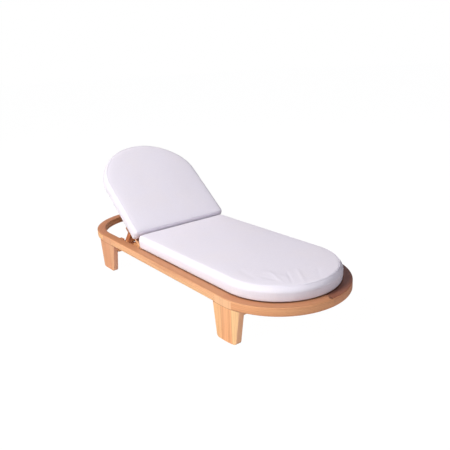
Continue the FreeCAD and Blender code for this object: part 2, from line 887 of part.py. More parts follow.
def make_rack(side, sign):
    """Notched rack under the prop's foot: its crest follows the bar's path, a little below it."""
    part = new_body("rack_" + side)
    y0, y1 = span(sign, rack_inner, rack_outer)
    low_x, low_z = foot_at(s.low_tilt)
    top_x, top_z = foot_at(s.top_tilt)
    slope = (top_z - low_z) / (top_x - low_x)
    head = -hinge_offset - s.rack_reach
    level = -hinge_offset - s.rack_level_reach
    drop = s.bar_radius + s.crest_gap

    def crest(x):
        return low_z - drop + slope * (x - low_x)

    bearer_x = head_bearer_x
    waist = ring_low - s.bearer_drop + s.bearer_waist
    sketch = new_sketch(part, "XZ_Plane", -y1)
    outline(sketch, [
        (head, s.rack_low, None),
        (bearer_x, s.rack_low, None),
        (bearer_x, waist, None),
        (bearer_x + s.bearer_width, waist, None),
        (bearer_x + s.bearer_width, s.rack_low, None),
        (hinge_rail_x, s.rack_low, None),
        (hinge_rail_x, crest(level), None),
        (level, crest(level), None),
        (head, crest(head), None),
    ])
    pad(part, sketch, y1 - y0)
    notches = new_sketch(part, "XZ_Plane", -y1 - s.overrun)
    for tilt in [s.top_tilt] + [s.rest_tilt * share for share in notch_tilt_shares]:
        x, z = foot_at(tilt)
        circle(notches, x, z - s.notch_drop, s.bar_radius + s.notch_play)
    pocket(part, notches, s.ring_width, symmetric=True)
    keep("rack_" + side, part)


# Cushions: contours at rising levels, joined by a ruled loft, with a crown and drawn-in sides
def make_cushion(name, low, thickness, draw):
    part = new_body(name)
    sketches = []
    for level_share, inset_share in cushion_level_shares:
        sketch = new_sketch(part, "XY_Plane", low + thickness * level_share)
        sketches.append(draw(sketch, s.cushion_edge * inset_share))
    loft = part.newObject("PartDesign::AdditiveLoft", name + "_loft")
    loft.Profile = sketches[0]
    loft.Sections = sketches[1:]
    loft.Ruled = True
    return part


def seat_contour(sketch, inset):
    """The seat cushion's outline: square rear edge with round corners, half-round foot end."""
    rear = -seat_rear + inset
    side = seat_half_width - inset
    r = s.seat_corner
    return outline(sketch, [
        (rear, r - side, None),
        (rear, side - r, (r, rear + r, side - r)),
        (rear + r, side, None),
        (centre, side, (side, centre, NIL)),
        (centre + side, NIL, (side, centre, NIL)),
        (centre, -side, None),
        (rear + r, -side, (r, rear + r, r - side)),
    ])


def back_contour(sketch, inset):
    """The back cushion's outline: the D of the back frame, a little larger."""
    along = s.back_shoulder_along
    half_width = back_half_width + s.back_cushion_overhang
    rise = back_rise + s.back_cushion_overhang
    shoulder = back_shoulder_radius + s.back_cushion_shoulder_growth
    return arched_outline(sketch, s.back_cushion_start, half_width, rise, shoulder, along, inset,
                          s.back_cushion_corner)


def make_all():
    for side, sign in SIDES:
        make_rail(side, sign)
        for end in ("foot", "head"):
            make_arc(end, side, sign)
            make_leg(end, side, sign)
    make_head_bearer()
    make_foot_bearer()
    keep("hinge_rail", box("hinge_rail", hinge_rail_x, hinge_rail_x + s.hinge_rail_width, -inner, inner,
                           deck_low - s.hinge_rail_depth, deck_low))
    make_ledgers()
    make_seat_deck()
    make_back_frame()
    for side, sign in SIDES:
        make_ear(side, sign)
        make_hanger(side, sign)
        make_block(side, sign)
        make_rack(side, sign)
    make_bolts("pivot_bolts", -hinge_offset, s.hinge_height, inner - s.bolt_cover)
    make_washers()
    hang_back(make_bolts("prop_bolts", -s.prop_pivot_along, -s.prop_pivot_drop, hanger_outer - s.bolt_cover))
    make_prop()
    keep("seat_cushion", make_cushion("seat_cushion", deck_top + s.cushion_gap, s.seat_thickness, seat_contour))
    back = make_cushion("back_cushion", back_top + s.cushion_gap, s.back_cushion_thickness, back_contour)
    keep("back_cushion", hang_back(back))


make_all()
doc.recompute()

for thing in doc.Objects:
    if "Invalid" in thing.State or "Error" in thing.State:
        raise RuntimeError("%s failed: %s" % (thing.Label, thing.State))
for label, thing in nodes.items():
    if thing.Shape.isNull() or not thing.Shape.isValid():
        raise RuntimeError("%s has no valid shape" % label)

os.makedirs("parts", exist_ok=True)
for label, thing in sorted(nodes.items()):
    thing.Shape.exportStep("parts/%s.step" % label)
print("%d sub-parts, %d solids" % (len(nodes), sum(len(thing.Shape.Solids) for thing in nodes.values())))
print("prop turns %.4f times the back" % coupling.value)
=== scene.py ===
"""Spa relaxation lounger: oiled teak and pale cushions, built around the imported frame."""

import json
import logging
import math
from dataclasses import dataclass
from enum import Enum
from typing import Any, Callable, Optional, Sequence, Union

import bmesh
import bpy
import numpy as np
from mathutils import Matrix, Vector
from mathutils.bvhtree import BVHTree

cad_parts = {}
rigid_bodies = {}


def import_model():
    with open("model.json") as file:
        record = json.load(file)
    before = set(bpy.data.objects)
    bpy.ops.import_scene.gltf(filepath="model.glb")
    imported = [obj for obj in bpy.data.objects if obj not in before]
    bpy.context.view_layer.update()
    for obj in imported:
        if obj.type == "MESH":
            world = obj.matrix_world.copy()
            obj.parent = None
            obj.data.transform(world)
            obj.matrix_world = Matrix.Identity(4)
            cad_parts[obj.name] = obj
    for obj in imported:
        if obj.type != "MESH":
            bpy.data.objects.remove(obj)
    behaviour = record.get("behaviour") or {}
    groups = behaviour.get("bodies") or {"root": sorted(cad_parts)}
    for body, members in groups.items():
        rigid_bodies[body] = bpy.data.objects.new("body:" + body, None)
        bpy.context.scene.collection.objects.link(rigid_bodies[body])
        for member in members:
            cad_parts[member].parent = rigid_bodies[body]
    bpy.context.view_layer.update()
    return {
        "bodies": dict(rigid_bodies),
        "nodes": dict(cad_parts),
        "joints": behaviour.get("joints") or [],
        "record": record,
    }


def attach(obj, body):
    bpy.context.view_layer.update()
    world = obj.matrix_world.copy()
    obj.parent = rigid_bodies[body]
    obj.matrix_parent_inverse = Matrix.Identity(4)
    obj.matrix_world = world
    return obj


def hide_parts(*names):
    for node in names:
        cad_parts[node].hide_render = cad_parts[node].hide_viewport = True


LOG = logging.getLogger("lounger")
MM = 0.001
TURN = 2 * math.pi
QUARTER = math.pi / 2
# Points closer than this are one; edges over these angles, in degrees, stay sharp.
WELD = 2e-6
CRISP, ROUND = 30.0, 80.0
Colour = tuple[float, float, float]
Place = tuple[float, float, float]
Outline = tuple[np.ndarray, np.ndarray]
Number = Union[float, "Value"]
Owner = Union[bpy.types.Material, bpy.types.World]
WHITE = (1.0, 1.0, 1.0)
BLACK = (0.0, 0.0, 0.0)

# Shader maths.


def linear(*channels: int) -> Colour:
    """An 8-bit display colour as the linear colour that shaders use."""
    shares = (value / 255 for value in channels)
    return tuple(share / 12.92 if share <= 0.04045 else ((share + 0.055) / 1.055) ** 2.4
                 for share in shares)


def math_node(operation: str, swapped: bool = False) -> Callable[..., "Value"]:
    """A method of Value that adds one Math node; swapped puts the value itself second."""

    def method(value: "Value", *others: Number) -> "Value":
        """Add the node."""
        terms = (*others, value) if swapped else (value, *others)
        return value.graph.node("Math", {"operation": operation}, dict(enumerate(terms)))

    return method


@dataclass
class Value:
    """A shader socket that takes part in Python arithmetic: each operator adds one Math node."""

    graph: "Graph"
    socket: bpy.types.NodeSocket

    __add__ = __radd__ = math_node("ADD")
    __sub__ = math_node("SUBTRACT")
    __rsub__ = math_node("SUBTRACT", True)
    __mul__ = __rmul__ = math_node("MULTIPLY")
    __truediv__ = math_node("DIVIDE")
    __pow__ = math_node("POWER")
    __abs__ = math_node("ABSOLUTE")
    sine = math_node("SINE")
    floor = math_node("FLOOR")
    fraction = math_node("FRACT")
    # 1 where the value is over the limit, else 0.
    above = math_node("GREATER_THAN")

    def ramp(self, low: float, high: float) -> "Value":
        """0 below low, 1 above high, smooth between."""
        return self.graph.node("MapRange", {"interpolation_type": "SMOOTHSTEP"},
                               {"Value": self, "From Min": low, "From Max": high})


class Graph:
    """A material's or world's node graph, built by short calls."""

    def __init__(self, owner: Owner, output: str) -> None:
        """Empty the owner's graph and start it with an output node."""
        self.owner = owner
        owner.use_nodes = True
        self.tree = owner.node_tree
        self.tree.nodes.clear()
        self.output = self.tree.nodes.new(f"ShaderNode{output}")

    @classmethod
    def material(cls, name: str) -> "Graph":
        """The graph of a new material."""
        return cls(bpy.data.materials.new(name), "OutputMaterial")

    def node(self, kind: str, settings: Optional[dict] = None, values: Optional[dict] = None,
             output: Union[int, str] = 0) -> Value:
        """Add any node.

        Args:
            kind: the node's type name, after "ShaderNode".
            settings: properties of the node.
            values: numbers, colours or links by socket name or place.
            output: which output to hand back.

        Returns:
            The chosen output.
        """
        made = self.tree.nodes.new(f"ShaderNode{kind}")
        for key, value in (settings or {}).items():
            setattr(made, key, value)
        for key, value in (values or {}).items():
            if isinstance(value, Value):
                self.tree.links.new(value.socket, made.inputs[key])
            else:
                made.inputs[key].default_value = value
        return Value(self, made.outputs[output])

    def mix(self, share: Number, first: Union[Colour, Value], second: Union[Colour, Value],
            blend: str = "MIX") -> Value:
        """Mix two colours by a share."""
        ends = (end if isinstance(end, Value) else (*end, 1.0) for end in (first, second))
        return self.node("Mix", {"data_type": "RGBA", "blend_type": blend},
                         {0: share, **dict(zip((6, 7), ends))}, 2)

    def split(self, vector: Value) -> list[Value]:
        """A vector's three numbers."""
        made = self.tree.nodes.new("ShaderNodeSeparateXYZ")
        self.tree.links.new(vector.socket, made.inputs[0])
        return [Value(self, socket) for socket in made.outputs]

    def attribute(self, name: str, output: str = "Fac") -> Value:
        """One of the mesh's own attributes."""
        return self.node("Attribute", {"attribute_name": name}, None, output)

    def place(self) -> Value:
        """The place on the lounger, in metres."""
        return self.node("TexCoord", None, None, "Object")

    def facing(self) -> list[Value]:
        """The three numbers of the surface's direction."""
        return self.split(self.node("NewGeometry", None, None, "Normal"))

    def camera_ray(self) -> Value:
        """1 where the camera looks straight at it."""
        return self.node("LightPath", None, None, "Is Camera Ray")

    def scaled(self, vector: Value, factors: Place) -> Value:
        """A vector times three factors."""
        return self.node("VectorMath", {"operation": "MULTIPLY"}, {0: vector, 1: factors})

    def noise(self, vector: Value, scale: float, detail: float = 2.0,
              roughness: float = 0.5) -> Value:
        """Smooth noise between 0 and 1."""
        return self.node("TexNoise", {"normalize": True}, {
            "Vector": vector, "Scale": scale, "Detail": detail, "Roughness": roughness})

    def bump(self, height: Value, distance: float, strength: float,
             normal: Optional[Value] = None) -> Value:
        """Turn a height into a normal."""
        under = {} if normal is None else {"Normal": normal}
        return self.node("Bump", None,
                         {"Height": height, "Distance": distance, "Strength": strength, **under})

    def close(self, shader: Value) -> Owner:
        """Link the last shader to the output."""
        self.tree.links.new(shader.socket, self.output.inputs["Surface"])
        return self.owner

    def surface(self, **values: object) -> bpy.types.Material:
        """Close with a Principled shader; underscores in the names stand for spaces."""
        return self.close(self.node("BsdfPrincipled", None, {
            key.replace("_", " "): value for key, value in values.items()}))


# Finishes.


class Grain(Enum):
    """Where a board's grain runs: an axis of the lounger, or the piece's own grain attribute."""

    ALONG = (0.0, 0.0, 0.0)
    ACROSS = (0.0, 0.0, 90.0)
    UPRIGHT = (0.0, 90.0, 0.0)
    OWN = None


@dataclass(frozen=True)
class Teak:
    """Oiled teak: drifting tone, growth lines along the grain, short pores, painted shade on the
    tops.

    tint is a share and a colour laid over the board; staves are where a leg's glue lines lie along
    the lounger; inside the radius inner the top lies under the cushion's edge and gets a painted
    shade line; end is how far faces towards the foot turn to a lighter, redder colour, painted
    light.
    """

    name: str
    grain: Grain
    seed: int
    tone: float = 0.0
    blush: float = 0.0
    # Painted shade on the upper faces: how far they turn to the darker, pinker top colour below.
    top_shade: float = 0.7
    cap: Colour = linear(180, 118, 97)
    tint: tuple[float, Colour] = (0.0, WHITE)
    tilt: float = 0.0
    staves: tuple[float, ...] = ()
    contrast: float = 1.0
    # Inside this radius the top gets a painted shade line under the cushion's edge.
    inner: float = 0.0
    # Share of painted light on faces turned towards the foot.
    end: float = 0.75
    knots: tuple[Place, ...] = ()

    PALE = linear(252, 196, 142)
    MIDDLE = linear(238, 172, 119)
    DEEP = linear(176, 108, 66)
    LINE = linear(142, 82, 48)
    GOLD = linear(255, 212, 146)
    REDDISH = linear(254, 178, 130)
    # Painted light: the colour of faces turned towards the foot.
    FOOT_FACE_LIGHT = linear(254, 194, 158)
    KNOT = linear(92, 48, 28)
    # Painted shade for the ring's top under the cushion's edge.
    GAP_SHADE = linear(84, 50, 38)
    BLOCK = linear(248, 198, 156)
    STAVES = ((0.30, PALE), (0.30, REDDISH), (0.50, linear(255, 216, 160)))
    # How far each seed moves the board in its log, where the log's heart lies, and its rings.
    SHIFT = (0.37, 0.113, 0.071)
    HEART_ACROSS, HEART_THROUGH = 0.11, 0.07
    RINGS_PER_METRE = 118.0
    # A leg's shoulder and the start of its tongue; where the cushion begins; the rounding of edges.
    SHOULDER = 0.1842
    TONGUE = 0.1846
    COVERED_FROM = -0.238
    BEVEL = 0.0012
    PORE_DEPTH = 0.00022

    def _grain_space(self, graph: Graph) -> Value:
        """Coordinates in metres with X along the grain, shifted so that no two boards match."""
        own = self.grain is Grain.OWN
        source = graph.attribute("grain", "Vector") if own else graph.place()
        turn = [math.radians(angle) for angle in self.grain.value or (0.0, 0.0, 0.0)]
        turn[1] += math.radians(self.tilt)
        return graph.node("Mapping", {"vector_type": "POINT"},
                          {"Vector": source, "Location": [step * self.seed for step in self.SHIFT],
                           "Rotation": turn})

    def build(self) -> bpy.types.Material:
        """The finished material, for one board or a group of boards from one plank."""
        graph = Graph.material(self.name)
        place = self._grain_space(graph)

        def field(along: float, scale: float, detail: float = 2.0, roughness: float = 0.5) -> Value:
            """Noise drawn out along the grain."""
            return graph.noise(graph.scaled(place, (along, 1.0, 1.0)), scale, detail, roughness)

        _, across, through = graph.split(place)
        heart = ((across + self.HEART_ACROSS) ** 2.0
                 + (through * 1.6 + self.HEART_THROUGH) ** 2.0)
        rings = ((heart ** 0.5 + field(0.18, 9.0) * 0.030) * self.RINGS_PER_METRE).fraction()
        late = rings.ramp(0.55, 0.93) * (1.0 - rings.ramp(0.94, 1.0))
        streak = field(0.035, 62.0, 3.0, 0.62)
        fibre = field(0.022, 420.0, 2.0, 0.6)
        pores = field(0.05, 760.0, 1.0).ramp(0.64, 0.72)
        drift = field(0.25, 5.0)
        band = field(0.03, 30.0)
        colour = graph.mix(drift.ramp(0.30, 0.72) * 0.75 + self.tone, self.PALE, self.MIDDLE)
        for share, tint in ((band.ramp(0.52, 0.68) * 0.42, self.GOLD),
                            ((1.0 - band.ramp(0.34, 0.47)) * 0.34, self.DEEP),
                            (streak.ramp(0.50, 0.78) * 0.55, self.DEEP),
                            (late * (0.20 + 0.30 * drift), self.LINE),
                            (fibre.ramp(0.45, 0.75) * 0.18, self.PALE),
                            (pores * 0.42, self.LINE)):
            colour = graph.mix(share, colour, tint)
        # The board's tint, then painted shade on the tops and under the cushion's edge.
        colour = self._tint_and_paint_shade(graph, colour)
        height = fibre * 0.25 - pores * 0.9 + late * 0.25
        if self.staves:
            colour, groove = self._staved(graph, colour)
            height = height - groove * 4.0
        for knot in self.knots:
            colour, height = self._knotted(graph, colour, height, knot)
        edge = graph.node("Bevel", {"samples": 4}, {"Radius": self.BEVEL})
        rough = 0.46 + streak * 0.10 + pores * 0.14 - late * 0.05
        return graph.surface(Base_Color=colour, Roughness=rough, IOR=1.48,
                             Normal=graph.bump(height, self.PORE_DEPTH, 0.55, edge))

    def _tint_and_paint_shade(self, graph: Graph, colour: Value) -> Value:
        """Lay the board's tint, then paint shade: upper faces darker and pinker, and a shade line
        on the top under the cushion's edge.
        """
        share, tint = self.tint
        if share:
            colour = graph.mix(share, colour, tint)
        # Painted shade: faces turned up, and by blush the whole board a little, take the darker top
        # colour.
        top_shade_share = graph.facing()[2].ramp(0.35, 0.95) * self.top_shade + self.blush
        colour = graph.mix(top_shade_share, colour, self.cap)
        if self.inner:
            # Painted shade line on the top inside the cushion's edge.
            along, radius, _ = graph.split(graph.attribute("grain", "Vector"))
            under = 1.0 - radius.ramp(self.inner - 0.004, self.inner)
            colour = graph.mix(under * along.above(self.COVERED_FROM) * 0.5, colour, self.GAP_SHADE)
        return colour

    def _staved(self, graph: Graph, colour: Value) -> tuple[Value, Value]:
        """Give a leg's glued staves and its tongue their own tones, with fine dark glue lines.

        Args:
            graph: the material's graph.
            colour: the board's colour so far.

        Returns:
            The new colour, and a groove that is 1 in the glue lines.
        """
        along, _, height = graph.split(graph.place())
        tones = [graph.mix(share * self.contrast, colour, tint) for share, tint in self.STAVES]
        shade, line = tones[0], 0.0
        for edge, tone in zip(self.staves, tones[1:]):
            shade = graph.mix(along.above(edge), shade, tone)
            line = (1.0 - abs(along - edge).ramp(0.0003, 0.0009)) + line
        block = graph.mix(0.55 * self.contrast, colour, self.BLOCK)
        tongue = height.above(self.TONGUE)
        shade = graph.mix(tongue, graph.mix(line * 0.45, shade, self.LINE), block)
        # Painted light: faces turned towards the foot turn lighter and redder.
        shade = graph.mix(graph.facing()[0].ramp(0.5, 0.9) * self.end, shade, self.FOOT_FACE_LIGHT)
        shoulder = 1.0 - abs(height - self.SHOULDER).ramp(0.0006, 0.0022)
        return graph.mix(shoulder * 0.5, shade, self.LINE), line * (1.0 - tongue)

    def _knotted(self, graph: Graph, colour: Value, height: Value,
                 knot: Place) -> tuple[Value, Value]:
        """Add a small dark knot at a place on the lounger."""
        where = graph.place()
        gap = graph.node("VectorMath", {"operation": "DISTANCE"}, {0: where, 1: knot}, "Value")
        inside = 1.0 - (gap + graph.noise(where, 160.0) * 0.006).ramp(0.010, 0.017)
        return graph.mix(inside * 0.85, colour, self.KNOT), height - inside * 1.5


@dataclass(frozen=True)
class Canvas:
    """Tight pale outdoor canvas: a plain weave with uneven yarns, painted shade low down and at the
    rim.
    """

    name: str
    seed: int
    # A level over 1 lifts the colour, painted light.
    level: float = 1.0
    # Share of painted shade along the cushion's bottom edge.
    low_shade: float = 0.0
    thread: float = 0.0011

    BASE = linear(239, 235, 245)
    SHADE = linear(225, 219, 232)
    WARM = linear(241, 235, 240)
    # Painted shade for the cushion's bottom edge, where it meets the ring.
    LOW_SHADE = linear(112, 78, 64)
    # The heights over which the painted shade along the bottom fades out.
    SHADED_UNDER = (0.0062, 0.0100)

    def build(self) -> bpy.types.Material:
        """The finished material, on the piece's own weave coordinates."""
        graph = Graph.material(self.name)
        across, along, _ = graph.split(graph.node("UVMap", {"uv_map": "weave"}))

        def field(x: Number, y: Number, z: float, scale: float, detail: float) -> Value:
            """Noise at a place made of three numbers."""
            return graph.noise(graph.node("CombineXYZ", None, {0: x, 1: y, 2: z}), scale, detail)

        warp, weft = (abs((run * (math.pi / self.thread)).sine()) for run in (across, along))
        column, row = ((run / self.thread).floor() for run in (across, along))
        over = abs(((column + row) * 0.5).fraction()).above(0.25)
        height = over * warp + (1.0 - over) * weft
        slub_a = field(across * 3.0, along * 90.0, 0.0, 12.0, 2.0)
        slub_b = field(across * 90.0, along * 3.0, 4.0, 12.0, 2.0)
        cloud = field(across, along, 0.3 * self.seed, 5.0, 3.0)
        base = graph.mix(cloud.ramp(0.35, 0.75) * 0.5, self.BASE, self.WARM)
        base = graph.mix((slub_a + slub_b).ramp(0.85, 1.3) * 0.35, base, self.SHADE)
        base = graph.mix((1.0 - height) * 0.16, base, self.SHADE)
        fine = graph.bump(height + slub_a * 0.6 + slub_b * 0.6, 0.00016, 0.5)
        # A level other than 1 scales the colour; above 1 it is painted light.
        if self.level != 1.0:
            base = graph.mix(1.0, base, (self.level,) * 3, "MULTIPLY")
        # Painted shade on the rim, from the mesh's own attribute.
        base = graph.mix(graph.attribute("rim_shade"), base, BLACK)
        # Painted shade along the cushion's bottom edge.
        if self.low_shade:
            low = 1.0 - graph.attribute("rise").ramp(*self.SHADED_UNDER)
            base = graph.mix(low * self.low_shade, base, self.LOW_SHADE)
        return graph.surface(Base_Color=base, Roughness=0.86 + cloud * 0.08, Sheen_Weight=0.12,
                             Sheen_Roughness=0.5, Normal=graph.bump(cloud, 0.003, 0.25, fine))


@dataclass(frozen=True)
class Metal:
    """Brushed stainless steel with fine lathe marks round the Y axis."""

    name: str

    def build(self) -> bpy.types.Material:
        """The finished material."""
        graph = Graph.material(self.name)
        place = graph.place()
        marks = graph.noise(graph.scaled(place, (1.0, 14.0, 1.0)), 260.0)
        worn = graph.noise(place, 40.0).ramp(0.3, 0.7)
        colour = graph.mix(worn, linear(176, 176, 178), linear(206, 205, 204))
        return graph.surface(Base_Color=colour, Metallic=1.0, Roughness=0.24 + marks * 0.18,
                             Normal=graph.bump(marks, 0.0001, 0.3))


@dataclass(frozen=True)
class Speckled:
    """A plain stuff, such as nylon or thread, whose colour and surface follow one fine noise."""

    name: str
    scale: float
    detail: float
    dark: Colour
    pale: Colour
    rough: tuple[float, float]

    def build(self) -> bpy.types.Material:
        """The finished material."""
        graph = Graph.material(self.name)
        speck = graph.noise(graph.place(), self.scale, self.detail)
        least, more = self.rough
        return graph.surface(Base_Color=graph.mix(speck, self.dark, self.pale),
                             Roughness=least + speck * more, Normal=graph.bump(speck, 0.0001, 0.4))


# Mesh making.


def rounded_loop(x0: float, x1: float, y0: float, y1: float, radius: float, corner_steps: int,
                 face_steps: int = 1) -> np.ndarray:
    """A rectangle with round corners, anticlockwise: each is centre + radius * (cos, sin).

    Args:
        x0, x1, y0, y1: the rectangle's limits.
        radius: corner radius.
        corner_steps: segments in each corner.
        face_steps: even segments in each face along x, so that it can be bent later.

    Returns:
        Points, shape (n, 2).
    """
    quarter = np.linspace(0.0, QUARTER, corner_steps + 1)
    hubs = np.array([(x1 - radius, y1 - radius), (x0 + radius, y1 - radius),
                     (x0 + radius, y0 + radius), (x1 - radius, y0 + radius)])
    parts = []
    for turn, hub in enumerate(hubs):
        angle = quarter + turn * math.pi / 2
        parts.append(hub + radius * np.column_stack([np.cos(angle), np.sin(angle)]))
        if turn in (0, 2):
            start = parts[-1][-1]
            share = np.linspace(0.0, 1.0, face_steps + 1)[1:-1, None]
            parts.append(start + ((hubs[turn + 1, 0] - start[0]) * share) * np.array([1.0, 0.0]))
    return np.concatenate(parts)


def bridge(low: np.ndarray, high: np.ndarray) -> np.ndarray:
    """Quads between two closed loops of vertex numbers, or between two stacks of them."""
    quads = [low, np.roll(low, -1, -1), np.roll(high, -1, -1), high]
    return np.stack(quads, -1).reshape(-1, 4)


def signed_volume(points: np.ndarray, faces: Sequence[Sequence[int]]) -> float:
    """Six times the enclosed volume: each face's fan of triangles against the origin."""
    total = 0.0
    for size in {len(face) for face in faces}:
        ring = points[np.array([face for face in faces if len(face) == size])]
        total += float(np.sum(ring[:, :1] * np.cross(ring[:, 1:-1], ring[:, 2:])))
    return total


def store(mesh: bpy.types.Mesh, name: str, kind: str, values: np.ndarray) -> None:
    """Write a new attribute of the mesh's points."""
    held = mesh.attributes.new(name, kind, "POINT")
    field = "vector" if kind == "FLOAT_VECTOR" else "value"
    held.data.foreach_set(field, values.astype(np.float32).ravel())


def make_object(name: str, points: np.ndarray, faces: Sequence[Sequence[int]], sharp: float = 35.0,
                grain: Optional[np.ndarray] = None) -> bpy.types.Object:
    """A mesh object at the origin, with its faces outwards and its edges split by angle.

    Args:
        name: the piece's name.
        points: vertices, shape (n, 3), in metres.
        faces: index lists.
        sharp: edges over this angle, in degrees, stay sharp.
        grain: optional grain coordinates for each vertex, shape (n, 3).

    Returns:
        The new object.
    """
    if signed_volume(points, faces) < 0:
        faces = [face[::-1] for face in faces]
    mesh = bpy.data.meshes.new(name)
    mesh.from_pydata(points.tolist(), [], faces)
    if grain is not None:
        store(mesh, "grain", "FLOAT_VECTOR", grain)
    work = bmesh.new()
    work.from_mesh(mesh)
    bmesh.ops.remove_doubles(work, verts=work.verts, dist=WELD)
    bmesh.ops.dissolve_degenerate(work, edges=work.edges, dist=WELD)
    work.to_mesh(mesh)
    work.free()
    smooth(mesh)
    mesh.set_sharp_from_angle(angle=math.radians(sharp))
    made = bpy.data.objects.new(name, mesh)
    bpy.context.scene.collection.objects.link(made)
    return made


def smooth(mesh: bpy.types.Mesh) -> None:
    """Shade every face smoothly."""
    mesh.polygons.foreach_set("use_smooth", np.ones(len(mesh.polygons), bool))


def shell(name: str, rows: np.ndarray, sharp: float = 35.0,
          grain: Optional[np.ndarray] = None) -> bpy.types.Object:
    """A closed solid from loops of points, shape (rows, points, 3), with a cap on each end."""
    index = np.arange(rows.shape[0] * rows.shape[1]).reshape(rows.shape[:2])
    faces = [*bridge(index[:-1], index[1:]).tolist(), index[0][::-1].tolist(), index[-1].tolist()]
    return make_object(name, rows.reshape(-1, 3), faces, sharp,
                       None if grain is None else grain.reshape(-1, 3))


def dress(piece: bpy.types.Object, material: bpy.types.Material, body: str, slot: str,
          *nodes: str) -> None:
    """Give a new piece its material and body, and hide the CAD nodes that it stands for."""
    piece.data.materials.clear()
    piece.data.materials.append(material)
    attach(piece, body)
    if nodes:
        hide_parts(*nodes)
    LOG.info("made %s: %d faces", piece.name, len(piece.data.polygons))


def board(name: str, node: str, body: str, finish: Teak, rows: np.ndarray,
          grain: Optional[np.ndarray] = None) -> None:
    """Make one timber piece from its sections and dress it in the place of its solid."""
    dress(shell(name, rows, CRISP, grain), finish.build(), body, "teak", node)


def shrunk(loop: np.ndarray, amount: float) -> np.ndarray:
    """A profile drawn in towards its middle by about the given amount, to ease an end."""
    middle = (loop.min(0) + loop.max(0)) / 2
    half = (loop.max(0) - loop.min(0)) / 2
    return middle + (loop - middle) * (1.0 - amount / np.maximum(half, amount * 2))


# The lounger's sizes, in metres, and the tilt in degrees.


@dataclass(frozen=True)
class Sizes:
    """The sizes that the looks share with the solids."""

    half_length: float = 1.025
    outer: float = 0.375
    inner: float = 0.319
    ring_top: float = 0.230
    ring_low: float = 0.185
    ring_edge: float = 0.005
    shelf: float = 0.225
    tongue_inner: float = 0.355
    leg_inner: float = 0.343
    slat_reach: float = 0.318
    deck_top: float = 0.225
    slat_thick: float = 0.014
    hinge_x: float = -0.251
    hinge_z: float = 0.193
    tilt: float = 38.5
    back_half: float = 0.310
    back_band: float = 0.055
    back_low: float = 0.012
    back_top: float = 0.032
    back_along: float = 0.477
    back_rise: float = 0.274
    back_shoulder: float = 0.240
    rebate: float = 0.012

    @property
    def hub(self) -> float:
        """Distance from the middle to the centre of each round end."""
        return self.half_length - self.outer

    def back_to_world(self, points: np.ndarray) -> np.ndarray:
        """Points drawn flat about the hinge, turned up by the tilt: a plane rotation in x and z."""
        turn = math.radians(self.tilt)
        x, y, z = points[..., 0], points[..., 1], points[..., 2]
        return np.stack([self.hinge_x + x * math.cos(turn) + z * math.sin(turn), y,
                         self.hinge_z - x * math.sin(turn) + z * math.cos(turn)], -1)


S = Sizes()
SIDES = (("left", 1.0), ("right", -1.0))
# The easing of a joint's edges, and the radius inside which the seat cushion covers the ring;
# inside it the ring's top gets a painted shade line.
EASE = 0.0005
COVER_RADIUS = 0.331


# Timber.


